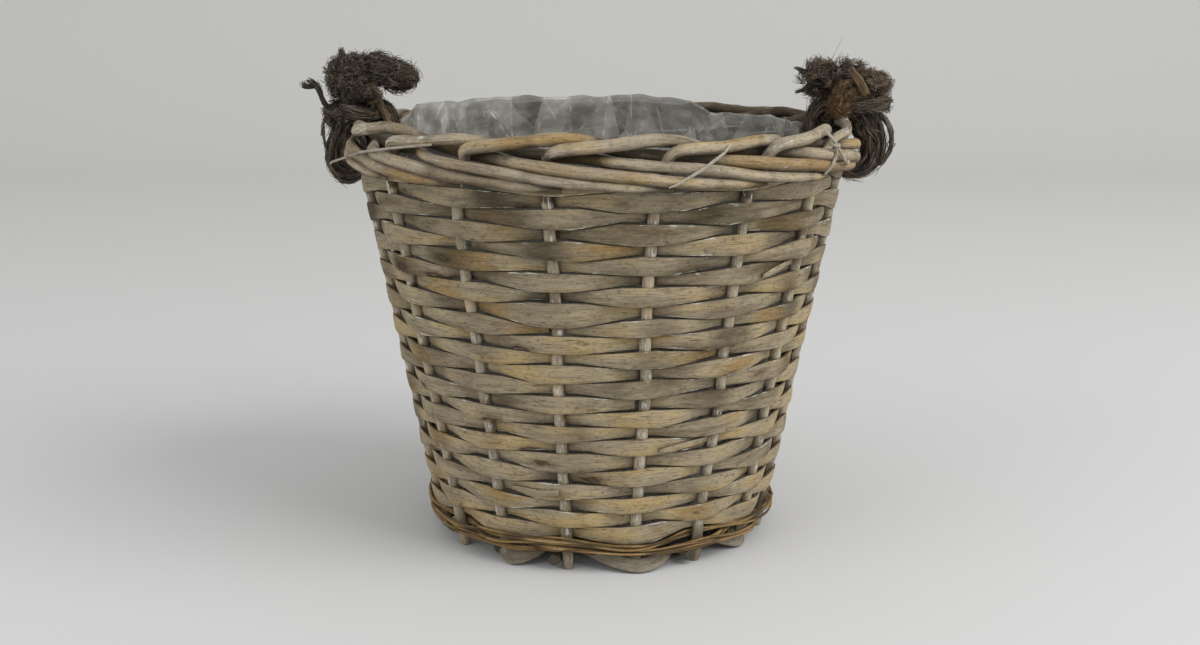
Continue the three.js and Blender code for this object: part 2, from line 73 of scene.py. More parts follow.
WALL_BOTTOM = box_mm("weave_row_01")[0, 2] - ROW_MARGIN
WALL_TOP = WALL_BOTTOM + ROWS * ROW_PITCH
FILLER_TOP = box_mm("rim_filler_front")[1, 2]
rng = np.random.default_rng(11)


def stake_line(height):
    """Radius of the circle of stakes: the foot's radius plus the height times the lean's tangent"""
    return FOOT_RADIUS + height * math.tan(LEAN)


def stake_angle(place):
    """Angle of a place counted in stakes; half places lie between two stakes"""
    return (np.asarray(place) + 0.5) * SPACING


def polar(angle, radius, height):
    """Points at an angle from the front, a distance from the middle and a height"""
    angle, radius, height = np.broadcast_arrays(angle, radius, height)
    return np.stack([radius * np.sin(angle), -radius * np.cos(angle), height], -1)


def eased(x):
    """0 below 0, 1 above 1, and a smooth rise between: 3x^2 - 2x^3"""
    x = np.clip(x, 0, 1)
    return x * x * (3 - 2 * x)


def drift(x, strength, longest):
    """Smooth wandering: the sum of four sine waves, each shorter and weaker, with random phases"""
    phase = rng.uniform(0, 2 * math.pi, 4)
    waves = [np.sin(x * 2 * math.pi * k / longest + p) / k for k, p in zip((1, 1.7, 2.9, 4.3), phase)]
    return strength * sum(waves) / 1.5


def at_places(values, place):
    """Values given at whole places round the ring, with an eased change from one to the next"""
    first = np.floor(place).astype(int)
    share = eased(place - first)
    return values[first % STAKES] * (1 - share) + values[(first + 1) % STAKES] * share


print("wall from", round(WALL_BOTTOM, 2), "to", round(WALL_TOP, 2), "filler top", round(FILLER_TOP, 2))

# %% [markdown]
# Every wooden piece here is a section carried along a path, so one function skins a row of rings, and
# another puts skins into a mesh. Beside each point goes its place on the straight rod, before it was
# bent, so that the grain runs along the wood however it is woven. Each piece starts further along than
# the one before it, so that neighbours don't show the same grain.

# %% Skins


def stacked(*parts):
    """Arrays that broadcast together, as the last axis of one array"""
    return np.stack(np.broadcast_arrays(*parts), -1)


def skin(rings, straight, **values):
    """Closed skin over rings: point j of ring i joins point j + 1 and the same points of ring i + 1.
    rings is (..., rings, sides, 3); leading axes are separate pieces. Ends are closed by one face each."""
    rings = np.asarray(rings, float)
    shape = rings.shape[:-1]
    index = np.arange(np.prod(shape)).reshape(shape)
    beside = np.roll(index, -1, axis=-1)
    sides = [index[..., :-1, :], beside[..., :-1, :], beside[..., 1:, :], index[..., 1:, :]]
    ends = [end.reshape(-1, shape[-1]) for end in (index[..., 0, ::-1], index[..., -1, :])]
    return {
        "points": rings.reshape(-1, 3),
        "faces": [np.stack(sides, -1).reshape(-1, 4), np.concatenate(ends)],
        "straight": np.broadcast_to(straight, rings.shape).reshape(-1, 3),
        "values": {key: np.broadcast_to(value, shape).ravel() for key, value in values.items()},
    }


# %% Pieces


def volume(points, faces):
    """Six times the signed volume: for each face's fan of triangles, a . (b x c) summed"""
    total = 0.0
    for corners in faces:
        for k in range(1, corners.shape[1] - 1):
            a, b, c = points[corners[:, 0]], points[corners[:, k]], points[corners[:, k + 1]]
            total += float((a * np.cross(b, c)).sum())
    return total


def piece(name, skins, material, body="basket", replaced=(), sharp=40.0):
    """One object from one or more skins, in metres, with their values as point attributes"""
    mesh = bpy.data.meshes.new(name)
    faces, first = [], 0
    for part in skins:
        turned = volume(part["points"], part["faces"]) < 0
        faces += [(corners[:, ::-1] if turned else corners) + first for corners in part["faces"]]
        first += len(part["points"])
    corners = np.concatenate([group.ravel() for group in faces])
    sizes = np.concatenate([np.full(len(group), group.shape[1]) for group in faces])
    mesh.vertices.add(first)
    mesh.vertices.foreach_set("co", np.concatenate([part["points"] for part in skins]).ravel() * MM)
    mesh.loops.add(len(corners))
    mesh.loops.foreach_set("vertex_index", corners.astype(np.int32))
    mesh.polygons.add(len(sizes))
    mesh.polygons.foreach_set("loop_start", (np.cumsum(sizes) - sizes).astype(np.int32))
    mesh.update(calc_edges=True)
    mesh.validate()
    straight = np.concatenate([part["straight"] for part in skins]) * MM
    mesh.attributes.new("straight", "FLOAT_VECTOR", "POINT").data.foreach_set("vector", straight.ravel())
    for key in skins[0]["values"]:
        value = np.concatenate([part["values"][key] for part in skins])
        mesh.attributes.new(key, "FLOAT", "POINT").data.foreach_set("value", value)
    mesh.shade_smooth()
    mesh.set_sharp_from_angle(angle=math.radians(sharp))
    made = bpy.data.objects.new(name, mesh)
    bpy.context.scene.collection.objects.link(made)
    mesh.materials.append(material)
    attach(made, body)
    if replaced:
        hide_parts(*replaced)
    return made


# %% [markdown]
# A rod is a ring of points carried along a path. It could be a curve with a bevel, but then its thickness,
# its bud scars and its cut ends couldn't follow a formula, so the rings are worked out here. Two unit
# vectors square to the path carry each ring, and one of them leans towards a reference, so that the
# rings don't twist.

# %% Rods and paths
BROKEN_EDGE = 0.35
END_SHARE = 0.86
KNOB_LENGTH = 2.2
KNOB_HEIGHT = 0.45


def unit(vectors):
    """Vectors divided by their length"""
    return vectors / np.linalg.norm(vectors, axis=-1, keepdims=True)


def across_path(path, reference):
    """Unit vectors across a path: one towards the reference, and one square to it and to the path"""
    along = unit(np.gradient(path, axis=-2))
    across = unit(reference - (reference * along).sum(-1, keepdims=True) * along)
    return across, np.cross(along, across)


def rings_round(path, radius, turn, reference):
    """At each point of a path a ring: centre + r (cos t across + sin t third)"""
    across, third = across_path(path, reference)
    round_it = np.cos(turn)[:, None] * across[..., None, :] + np.sin(turn)[:, None] * third[..., None, :]
    return path[..., None, :] + radius[..., None] * round_it


def full_turn(sides):
    """Angles of a ring's points: one full turn in equal steps"""
    return np.arange(sides) * 2 * math.pi / sides


def lengths_along(path):
    """Distance of each point from the path's start: the sum of the steps before it"""
    return np.concatenate([[0], np.cumsum(np.linalg.norm(np.diff(path, axis=0), axis=1))])


def rod(path, radius, sides=12, reference=None, start=0.0, knobs=0, under=0.0, **values):
    """Round rod: rings round the path, whose first point faces away from the basket's middle if no other
    reference is given. Its ends are cut square with a small broken edge, knobs are bud scars that stand out,
    and under adds painted shade, with some stains, where the rod faces down, sin t > 0, and less where it
    faces in or up."""
    length = lengths_along(path)
    stops = np.concatenate([[0, BROKEN_EDGE], length[1:-1], [length[-1] - BROKEN_EDGE, length[-1]]])
    reference = path * [1, 1, 0] if reference is None else np.broadcast_to(reference, path.shape)

    def at_stops(value):
        """A value given for each point of the path, or for all of them, read at the stops"""
        return np.interp(stops, length, np.broadcast_to(value, len(length)))

    path, reference = (np.stack([at_stops(column) for column in rows.T], -1) for rows in (path, reference))
    radius = at_stops(radius)
    radius[[0, -1]] *= END_SHARE
    turn = full_turn(sides)
    reach = radius[:, None] * (1 + 0.05 * np.cos(2 * turn + rng.uniform(0, 6)))
    for _ in range(knobs):
        where, side = rng.uniform(0, length[-1]), rng.uniform(0, 2 * math.pi)
        near = np.exp(-(((stops - where) / KNOB_LENGTH) ** 2))[:, None]
        reach = reach + KNOB_HEIGHT * near * eased(np.cos(turn - side))
    straight = stacked(stops[:, None] + start, reach * np.cos(turn), reach * np.sin(turn))
    shown = {key: at_stops(value)[:, None] for key, value in values.items()}
    # Painted shade round the rod, scaled by under: most on its underside and inner side, less on top
    below = eased(np.sin(turn) * 1.1) + 0.45 * eased(-np.sin(turn) * 1.1 - 0.1) + eased(-np.cos(turn))
    shown["dirt"] = np.clip(shown["dirt"] + below * at_stops(under)[:, None], 0, 1)
    shown["cut"] = np.isin(np.arange(len(stops)), [0, len(stops) - 1])[:, None] * 1.0
    return skin(rings_round(path, reach, turn, reference), straight, **shown)


def walked(points, step, reach):
    """A path through points in equal steps, each then the weighted mean of the points within reach of it,
    so that corners become bends. The ends stay where they are."""
    points = np.asarray(points, float)
    length = lengths_along(points)
    stops = np.linspace(0, length[-1], int(length[-1] / step) + 1)
    dense = np.stack([np.interp(stops, length, column) for column in points.T], -1)
    wide = max(1, int(reach / step))
    before = 2 * dense[0] - dense[wide:0:-1]
    after = 2 * dense[-1] - dense[-2 : -wide - 2 : -1]
    weights = np.hanning(2 * wide + 3)[1:-1]
    padded = np.concatenate([before, dense, after])
    return np.stack([np.convolve(column, weights / weights.sum(), "valid") for column in padded.T], -1)


# %% [markdown]
# The camera stands where the photograph's did: a little above the rim's height, looking slightly down.
# The floor turns up into a backdrop in one curved sheet, both pale and plain, and the light is a large
# soft lamp above the front, a weaker one at the side, and a grey sky.

# %% Camera
LENS_PIXELS = 1660.5
PHOTO_WIDTH = 1200
SENSOR_WIDTH = 36.0
CAMERA_PLACE = (-0.00063, -0.8548, 0.2882)
CAMERA_PITCH = math.radians(12.03)
scene = bpy.context.scene
camera = bpy.data.objects.new("camera", bpy.data.cameras.new("camera"))
scene.collection.objects.link(camera)
camera.data.sensor_width = SENSOR_WIDTH
camera.data.lens = LENS_PIXELS * SENSOR_WIDTH / PHOTO_WIDTH
camera.location = CAMERA_PLACE
camera.rotation_euler = (math.pi / 2 - CAMERA_PITCH, 0, 0)
scene.camera = camera
scene.view_settings.view_transform = "Standard"
print("lens", round(camera.data.lens, 2), "mm")

# %% Colours and nodes


def linear(code):
    """An sRGB hex colour as linear red, green, blue and alpha"""
    shares = np.array([int(code[k : k + 2], 16) for k in (0, 2, 4)]) / 255
    parts = np.where(shares <= 0.04045, shares / 12.92, ((shares + 0.055) / 1.055) ** 2.4)
    return (*parts.tolist(), 1.0)


def add(tree, kind, inputs, stops=(), **settings):
    """One shader node: its settings, its ramp's stops, and its inputs as values, hex colours or links"""
    made = tree.nodes.new("ShaderNode" + kind)
    for key, value in settings.items():
        setattr(made, key, value)
    for key, value in inputs.items():
        if isinstance(value, bpy.types.NodeSocket):
            tree.links.new(value, made.inputs[key])
        else:
            made.inputs[key].default_value = linear(value) if isinstance(value, str) else value
    if stops:
        ramp = made.color_ramp.elements
        while len(ramp) < len(stops):
            ramp.new(0.5)
        for element, (place, code) in zip(ramp, stops):
            element.position = place
            element.color = linear(code)
    return made


def new_material(name):
    """An empty material, its node tree and its output node"""
    material = bpy.data.materials.new(name)
    material.use_nodes = True
    material.node_tree.nodes.clear()
    return material, material.node_tree, material.node_tree.nodes.new("ShaderNodeOutputMaterial")


# %% Floor, backdrop and light


def stage_sheet():
    """Floor and backdrop: a profile of floor, quarter circle and wall, carried sideways"""
    half_width, front, back, bend, top = 6.0, -6.0, 1.5, 0.9, 2.2
    turn = np.linspace(0, math.pi / 2, 24)
    depth = np.concatenate([[front], back + bend * np.sin(turn), [back + bend]])
    height = np.concatenate([[0], bend * (1 - np.cos(turn)), [top]])
    sideways = np.array([-half_width, half_width])
    grid = stacked(sideways[:, None], depth, height)
    count = len(depth)
    first = np.arange(count - 1)
    faces = np.stack([first, first + count, first + count + 1, first + 1], -1)
    mesh = bpy.data.meshes.new("floor_and_backdrop")
    mesh.from_pydata(grid.reshape(-1, 3).tolist(), [], faces.tolist())
    mesh.shade_smooth()
    made = bpy.data.objects.new("floor_and_backdrop", mesh)
    scene.collection.objects.link(made)
    return made


paper, tree, output = new_material("matt_paper_backdrop")
spot = add(tree, "TexCoord", {}).outputs["Object"]
depth = add(tree, "SeparateXYZ", {0: spot}).outputs[1]
further = add(tree, "MapRange", {0: depth, 1: 0.2, 2: 1.6, 3: 0.0, 4: 1.0}).outputs[0]
tint = add(tree, "Mix", {0: further, 6: "cbcbca", 7: "cfceca"}, data_type="RGBA").outputs[2]
shader = add(tree, "BsdfPrincipled", {"Base Color": tint, "Roughness": 0.95})
tree.links.new(shader.outputs[0], output.inputs[0])
stage_sheet().data.materials.append(paper)


def lamp(name, place, target, size, power):
    """Square area lamp that faces a target"""
    made = bpy.data.objects.new(name, bpy.data.lights.new(name, "AREA"))
    made.data.shape = "SQUARE"
    made.data.size = size
    made.data.energy = power
    made.location = place
    direction = np.array(target) - np.array(place)
    yaw = math.atan2(direction[0], -direction[1])
    tilt = math.acos(-direction[2] / np.linalg.norm(direction))
    made.rotation_euler = (tilt, 0, yaw + math.pi)
    scene.collection.objects.link(made)
    return made


lamp("soft_key", (1.55, -0.85, 1.45), (0, 0, 0.1), 1.6, 35)
lamp("soft_fill", (-1.4, -0.9, 0.9), (0, 0, 0.12), 1.4, 8)
world = bpy.data.worlds.new("grey_sky")
world.use_nodes = True
world.node_tree.nodes["Background"].inputs["Color"].default_value = linear("e9eaec")
world.node_tree.nodes["Background"].inputs["Strength"].default_value = 0.82
scene.world = world
print("lamps:", len(bpy.data.lights), "and the sky:", world.name)

# %% [markdown]
# Weathered willow. The bark has been stripped, the wood has greyed, and a thin white wash was brushed
# on and rubbed off, so it stays in cracks, along edges and on the stakes. The eye sees long dark fibres,
# golden patches where the grey has worn off, dark smudges, a few knots, and chalky remains. An image
# texture could show them, but it would repeat, so each layer is a noise drawn out along the wood.

# %% Willow finish
FIBRE_LENGTH, FIBRE_WIDTH = 20.0, 0.55
CRACK_LENGTH, CRACK_WIDTH = 1.6 * FIBRE_LENGTH, 1.5 * FIBRE_WIDTH
PATCH_LENGTH, PATCH_WIDTH = 42.0, 7.0
SMUDGE_LENGTH, SMUDGE_WIDTH = 11.0, 2.6
MOTTLE_LENGTH, MOTTLE_WIDTH = 2.6, 1.3
CHIP_LENGTH, CHIP_WIDTH = 7.0, 1.5
KNOT_LENGTH, KNOT_WIDTH = 30.0, 10.0
SOFT_LAYERS = ("golden patches", "smudges", "halo of a knot")


def willow(name, shades, fibre, chalk, roughness=0.82, ends="a5946f"):
    """Weathered willow: shades from dark to light, the fibres' colour, how much white wash is left, and the
    colour of the cut ends"""
    material, tree, output = new_material(name)
    place = add(tree, "Attribute", {}, attribute_name="straight").outputs["Vector"]
    tone, gold, edge, dirt, cut = (
        add(tree, "Attribute", {}, attribute_name=key).outputs["Fac"]
        for key in ("tone", "gold", "edge", "dirt", "cut")
    )

    def drawn_out(length, width):
        """The place on the wood, counted in lengths along it and in widths across it"""
        scale = (1 / (length * MM), 1 / (width * MM), 1 / (width * MM))
        return add(tree, "Mapping", {"Vector": place, "Scale": scale}).outputs[0]

    def grain(length, width, detail, roughness):
        """Noise whose spots are as long and as wide as said, in millimetres"""
        inputs = {"Vector": drawn_out(length, width), "Scale": 1, "Detail": detail, "Roughness": roughness}
        return add(tree, "TexNoise", inputs).outputs[0]

    def weighted(total, *terms):
        """A number, plus each value times its weight"""
        for value, weight in terms:
            total = add(tree, "Math", {0: value, 1: weight, 2: total}, operation="MULTIPLY_ADD").outputs[0]
        return total

    fibres = grain(FIBRE_LENGTH, FIBRE_WIDTH, 3, 0.62)
    cracks = grain(CRACK_LENGTH, CRACK_WIDTH, 2, 0.5)
    patches = grain(PATCH_LENGTH, PATCH_WIDTH, 3, 0.55)
    smudges = grain(SMUDGE_LENGTH, SMUDGE_WIDTH, 5, 0.68)
    mottle = grain(MOTTLE_LENGTH, MOTTLE_WIDTH, 4, 0.7)
    chips = grain(CHIP_LENGTH, CHIP_WIDTH, 4, 0.7)
    # A knot lies round the middle of a cell, in fewer than half of the cells; the others are spared.
    cells = {"Vector": drawn_out(KNOT_LENGTH, KNOT_WIDTH), "Scale": 1}
    knots = add(tree, "TexVoronoi", cells, feature="F1").outputs
    spared = add(tree, "Math", {0: knots["Color"], 1: 0.55}, operation="LESS_THAN").outputs[0]
    eye = weighted(-0.27, (knots["Distance"], 1.0), (mottle, 0.2), (smudges, 0.35), (spared, 1.0))
    golden = weighted(gold, (patches, 0.9), (smudges, 0.5))
    # This layer darkens for stains and for painted shade together: the pieces paint the shade of crevices,
    # gaps between rows and undersides into the same value.
    grime_and_painted_shade = weighted(dirt, (smudges, 0.9))
    held = weighted(chips, (edge, 0.26), (patches, -0.25))

    # Each layer: its pattern, the value where it starts, the value where it is full, how far it then
    # covers what lies under it, and its colour
    layers = {
        "golden patches": (golden, 0.95, 1.5, 0.8, "9a7c4a"),
        "dark fibres": (fibres, 0.5, 0.3, 0.5, fibre),
        "light fibres": (fibres, 0.58, 0.76, 0.35, "c0b59d"),
        "cracks": (cracks, 0.33, 0.28, 0.75, "33291d"),
        "dark mottle": (mottle, 0.47, 0.3, 0.7, "55472f"),
        "light mottle": (mottle, 0.6, 0.72, 0.5, "b5ab96"),
        "smudges": (smudges, 0.42, 0.28, 0.75, "443828"),
        "halo of a knot": (eye, 0.4, 0.12, 0.6, "5a4630"),
        "ring of a knot": (eye, 0.2, 0.12, 0.75, "2f2418"),
        "pith of a knot": (eye, 0.1, 0.06, 0.5, "8a7150"),
        "grime_and_painted_shade": (grime_and_painted_shade, 0.5, 1.3, 0.85, "352a1b"),
        "white wash": (held, 0.62 - chalk, 0.7 - chalk, 0.78, "cbc8be"),
    }
    shade = weighted(-0.68, (patches, 1.7), (tone, 0.66))
    colour = add(tree, "ValToRGB", {0: shade}, stops=shades).outputs[0]
    cover = {}
    for layer, (pattern, first, full, most, code) in layers.items():
        curve = "SMOOTHSTEP" if layer in SOFT_LAYERS else "LINEAR"
        limits = {0: pattern, 1: first, 2: full, 3: 0.0, 4: most}
        cover[layer] = add(tree, "MapRange", limits, interpolation_type=curve).outputs[0]
        colour = add(tree, "Mix", {0: cover[layer], 6: colour, 7: code}, data_type="RGBA").outputs[2]
    colour = add(tree, "Mix", {0: cut, 6: colour, 7: ends}, data_type="RGBA").outputs[2]

    ring, wash = cover["ring of a knot"], cover["white wash"]
    raised = weighted(0.0, (smudges, 0.7), (fibres, 1.0), (ring, -0.6), (wash, 0.5))
    bump = add(tree, "Bump", {"Height": raised, "Strength": 0.85, "Distance": 0.0005}).outputs[0]
    shader = add(tree, "BsdfPrincipled", {
        "Base Color": colour, "Roughness": roughness, "Normal": bump, "Specular IOR Level": 0.3,
    })
    tree.links.new(shader.outputs[0], output.inputs[0])
    return material


GREYED = [(0.0, "63563f"), (0.3, "85785f"), (0.52, "9b8e76"), (0.72, "a8997b"), (1.0, "b49d70")]
TAN = [(0.0, "5f503c"), (0.3, "857760"), (0.52, "a09480"), (0.74, "b0a28a"), (1.0, "b8a176")]
BARKED = [(0.0, "4a3820"), (0.3, "7b6039"), (0.55, "9b7b4b"), (0.8, "b09365"), (1.0, "c0aa80")]
GREY = [(0.0, "4c4438"), (0.35, "6e6555"), (0.6, "857b6a"), (0.85, "978d7b"), (1.0, "a59b88")]
split_willow = willow("white_washed_split_willow", GREYED, "54483a", chalk=0.0)
rod_willow = willow("peeled_willow_rod", TAN, "57493a", chalk=0.02)
wale_willow = willow("buff_willow_rod", BARKED, "4b3519", chalk=-0.05, roughness=0.7)
base_willow = willow("grey_base_willow", GREY, "3f382d", chalk=-0.06, ends="4a4338")
print("willow finishes:", [m.name for m in (split_willow, rod_willow, wale_willow, base_willow)])

# %% [markdown]
# A stake is one willow rod. It stands on the ground, leans out with the wall, and bends over to the right
# at the top in a sharp elbow. It rises in an arch, goes down inside the next two stakes, comes out under
# the third one's arch and runs down along the front. It could be a Bezier curve with a bevel; here it is
# a ring carried along a smoothed path, so that thickness, bud scars and cut ends follow its length.
# The border's route is read from the photograph: how far round in stakes, how far out and how high in
# steps of one rod's thickness and its clearance.

# %% Stakes and border
ROD_STEP = 5.52
BORDER_RADIUS = stake_line(FILLER_TOP) + 0.4
BORDER_ARC = SPACING * BORDER_RADIUS
BEND_Z = 214.826
FOOT_LIFT = 0.5
PATH_STEP = 2.0
BEND_REACH = 3.6
BORDER_ROUTE = [
    (0.0, 0.1, -1.9), (0.0, 0.35, -1.5), (0.03, 0.55, -1.15), (0.12, 0.6, -0.88), (0.25, 0.55, -0.66),
    (0.4, 0.5, -0.4), (0.55, 0.4, -0.12), (0.75, 0.25, 0.14), (1.0, 0.0, 0.32), (1.25, -0.5, 0.12),
    (1.5, -1.0, -0.55), (1.75, -1.12, -1.02), (2.0, -1.12, -1.38), (2.25, -1.1, -1.62), (2.45, -0.75, -1.8),
    (2.6, -0.1, -1.98), (2.8, 0.7, -2.1), (3.0, 1.08, -2.25), (3.5, 1.12, -2.74), (4.0, 1.1, -3.3),
    (4.4, 1.0, -3.66), (4.8, 0.85, -3.92), (5.15, 0.55, -4.1),
]
# What each rod read in the photograph does: how far round its elbow sits, in stakes, and how much higher
# (or lower, below 0) and further out its arch is, in rod steps
ARCHES = {10: (0.0, -0.7, 0.0), 11: (0.0, -0.9, 0.0), 12: (0.0, -0.4, 0.0), 13: (0.14, -0.6, 0.0),
          14: (0.14, -0.42, 0.0), 15: (0.0, -0.45, 0.0), 0: (0.12, -0.75, 0.0), 1: (0.2, -0.75, 0.0),
          2: (0.32, -0.8, 0.3), 3: (0.2, -1.0, 0.0)}
# Thickness along the border, by stakes passed: full in the arch, thinner inside, full again in front
BORDER_SWELL = [(0.0, 2.6), (0.2, 2.95), (1.2, 2.95), (1.6, 3.0), (2.4, 3.0), (2.9, 3.0), (4.0, 2.9),
                (4.8, 2.3), (5.15, 1.3)]
# Rods that stand out in the photograph: how golden, how white with wash, and how thin they are
GOLDEN_RODS = {14: 0.7, 0: 0.3, 15: 0.15, 9: 0.5, 6: 0.6, 12: 0.4, 3: 0.3}
WASHED_RODS = {12: 0.5, 13: 0.4, 15: 0.25, 2: 0.5, 1: 0.3}
SLENDER_RODS = {2: 0.84, 3: 0.95}
# Beside the right ear the border's outer run stands out a little further
TIE_ANGLE = math.radians(75)
TIE_BULGE = 1.9
TIE_REACH = 0.26
# Each window on a stake is whitest this far below the strip that closes it at the top
WINDOW_TOP = 2.6


def stake_route(index):
    """The rod's path unrolled (way round, distance out, height): straight up the wall, then the border"""
    foot = [(0, stake_line(h), h) for h in np.linspace(FOOT_LIFT, FILLER_TOP - 1, 5)]
    shift, rise, bulge = ARCHES.get(index, (rng.uniform(-0.05, 0.1), rng.uniform(-1.35, -0.95), 0.0))
    over = []
    for p, out, up in BORDER_ROUTE:
        round_it = p + shift * (1 - eased((p - 1.6) / 1.0))
        lifted = up + rise * eased(p / 0.7) * (1 - eased((p - 1.4) / 1.0))
        pushed = out + bulge * eased(p / 0.25) * (1 - eased((p - 0.6) / 0.5))
        over.append((round_it * BORDER_ARC, BORDER_RADIUS + pushed * ROD_STEP, BEND_Z + lifted * ROD_STEP))
    return walked(foot + over, step=PATH_STEP, reach=BEND_REACH)


def wrapped(route, index, along, passed, free):
    """The route wrapped round the basket, a little wandering: sideways on the wall, out and up above it"""
    sideways = route[:, 0] + drift(along, 0.9, 130) * (1 - free) * eased(along / 30)
    out = route[:, 1] + drift(along, 0.3, 110) * free
    up = route[:, 2] + drift(along, 0.6, 190) * free
    angle = stake_angle(index) + sideways / BORDER_RADIUS
    from_tie = np.mod(angle - TIE_ANGLE + math.pi, 2 * math.pi) - math.pi
    out = out + TIE_BULGE * np.exp(-((from_tie / TIE_REACH) ** 2)) * eased((passed - 2.4) / 0.5)
    return polar(angle, out, up)


def stake_skin(index):
    """A stake and its border rod. The wall shows it in windows, one for every two rows, where a strip passes
    behind it. Each window is white with wash near its top and dirty below, as a cosine of the height. In the
    border the rod is painted darker inside, at the elbow, underneath and round the back: painted shade where
    other rods shadow it, with some stains."""
    route = stake_route(index)
    along = np.linspace(0, len(route) * PATH_STEP, len(route))
    passed = route[:, 0] / BORDER_ARC
    free = eased((passed - 0.25) / 0.5)
    path = wrapped(route, index, along, passed, free)
    own = rng.uniform(0.9, 1.06)
    swell = np.interp(passed, *np.transpose(BORDER_SWELL)) * own * SLENDER_RODS.get(index, 1.0)
    radius = np.where(passed > 0.001, swell, STAKE_RADIUS + 0.22) + drift(along, 0.1, 45)
    tone = np.clip(rng.uniform(0.42, 0.85) + drift(along, 0.3, 110), 0, 1)
    # Painted shade inside the border, where the rod runs behind others; the wood there is darker too
    inside = eased((passed - 1.25) / 0.3) * (1 - eased((passed - 2.45) / 0.3))
    gold = np.clip(GOLDEN_RODS.get(index, 0.15) + drift(along, 0.2, 90), 0, 1)
    window = along - WALL_BOTTOM - (index % 2) * ROW_PITCH
    top_of_window = 0.5 + 0.5 * np.cos(2 * math.pi * (window + WINDOW_TOP) / (2 * ROW_PITCH))
    low = np.where(along < WALL_TOP, 1.0, 0.0)
    # Painted shade on the rods round the back of the border
    far = 0.38 * eased((-np.cos(stake_angle(index) + passed * SPACING) - 0.2) / 0.4)
    shadow = np.clip(drift(along, 0.3, 40) - 0.14 + inside + far, 0, 1)
    # Painted shade: a dark hole at the elbow and at the rod's end
    elbow = 0.9 * (1 - low) * (1 - eased(passed / 0.06) + eased((passed - 4.8) / 0.3))
    dirt = 0.35 * low * (1 - top_of_window) + (1 - low) * shadow
    first_half = 1 - eased((passed - 0.6) / 0.4)
    wash = (0.3 + WASHED_RODS.get(index, 0.0) * first_half) * (1 - low) * (1 - inside) * (1 - far)
    wash = wash + low * (0.1 + 0.75 * top_of_window**3)
    # Painted shade under the border's rods
    under = (1 - low) * (0.55 + drift(along, 0.2, 50))
    return rod(path, radius, start=900.0 * index, knobs=8, under=under, tone=tone, edge=wash,
               gold=gold * (0.3 + 0.7 * free) * (1 - inside), dirt=np.clip(dirt + elbow, 0, 1))


for index in range(STAKES):
    name = f"stake_{index + 1:02d}"
    piece(f"willow_{name}", [stake_skin(index)], rod_willow, replaced=[name])
print("stakes:", STAKES)

# %% [markdown]
# The wall is woven from willow split lengthways: a flat inner face and a rounded bark face. A strip is
# widest where it bulges over a stake and narrow where it goes behind the next one, and no two are alike.
# A plane with a thickness could be bent round, but its edges would be square, so each row is a
# lens-shaped section carried round the basket, in and out between the stakes.

# %% The strips' section
FRONT_Y = np.array([-1.0, -0.93, -0.6, 0.0, 0.6, 0.93, 1.0])
BACK_Y = np.array([0.97, 0.5, -0.5, -0.97])
SECTION_Y = np.concatenate([FRONT_Y, BACK_Y])
BARK_FACE = np.array([0.25, 0.72, 0.93, 1.0, 0.93, 0.72, 0.25])
SECTION_X = np.concatenate([BARK_FACE, np.full(len(BACK_Y), -0.95)])
FRONT_WASH = np.array([0.3, 1.0, 0.12, 0.0, 0.12, 1.0, 0.3])
SECTION_WASH = np.concatenate([FRONT_WASH, np.zeros(len(BACK_Y))])
# Painted shade: a strip is dark along its edges, in the gaps between rows, and on its back face
FRONT_PAINTED_SHADE = np.array([1.0, 0.12, 0.0, 0.0, 0.0, 0.12, 1.0])
SECTION_PAINTED_SHADE = np.concatenate([FRONT_PAINTED_SHADE, np.ones(len(BACK_Y))])
STRIP_SWING = 2.45
STRIP_THICK = 1.75


def strip(angle, low, high, offset, thickness, tilt=0.0, start=0.0, **values):
    """Strip of split willow round the wall. At each angle its section lies between two heights, its middle
    offset from the stakes' line; its bark face is nearly flat and falls off beside its two edges."""
    middle, half = (low + high)[:, None] / 2, (high - low)[:, None] / 2
    height = middle + half * SECTION_Y
    out = offset[:, None] + SECTION_X * np.reshape(thickness, (-1, 1)) / 2
    out = out + np.reshape(tilt, (-1, 1)) * SECTION_Y * half
    rings = polar(angle[:, None], stake_line(height) + out, height)
    middle_line = polar(angle, stake_line((low + high) / 2), (low + high) / 2)
    length = lengths_along(middle_line)
    straight = stacked(length[:, None] + start, half * SECTION_Y, out * 0.3)
    shown = {key: np.reshape(value, (-1, 1)) + 0 * SECTION_Y for key, value in values.items()}
    shown["edge"] = shown.pop("wash") * SECTION_WASH
    shown["dirt"] = np.maximum(shown["dirt"], SECTION_PAINTED_SHADE)
    return skin(rings, straight, cut=0.0, **shown)


# %% The rows' places


def ear_squeeze(angle):
    """How far the rows are pressed down under a rope ear: 1 at the ear, 0 from two stakes away"""
    from_ear = np.abs(np.abs(np.mod(angle, math.pi)) - math.pi / 2)
    return np.cos(np.clip((from_ear - SPACING / 6) / SPACING, 0, 1) * math.pi / 2) ** 2


# Under an ear each row above the fifteenth loses this share of its pitch
SQUEEZE = 0.0939
SQUEEZED_FROM = 15
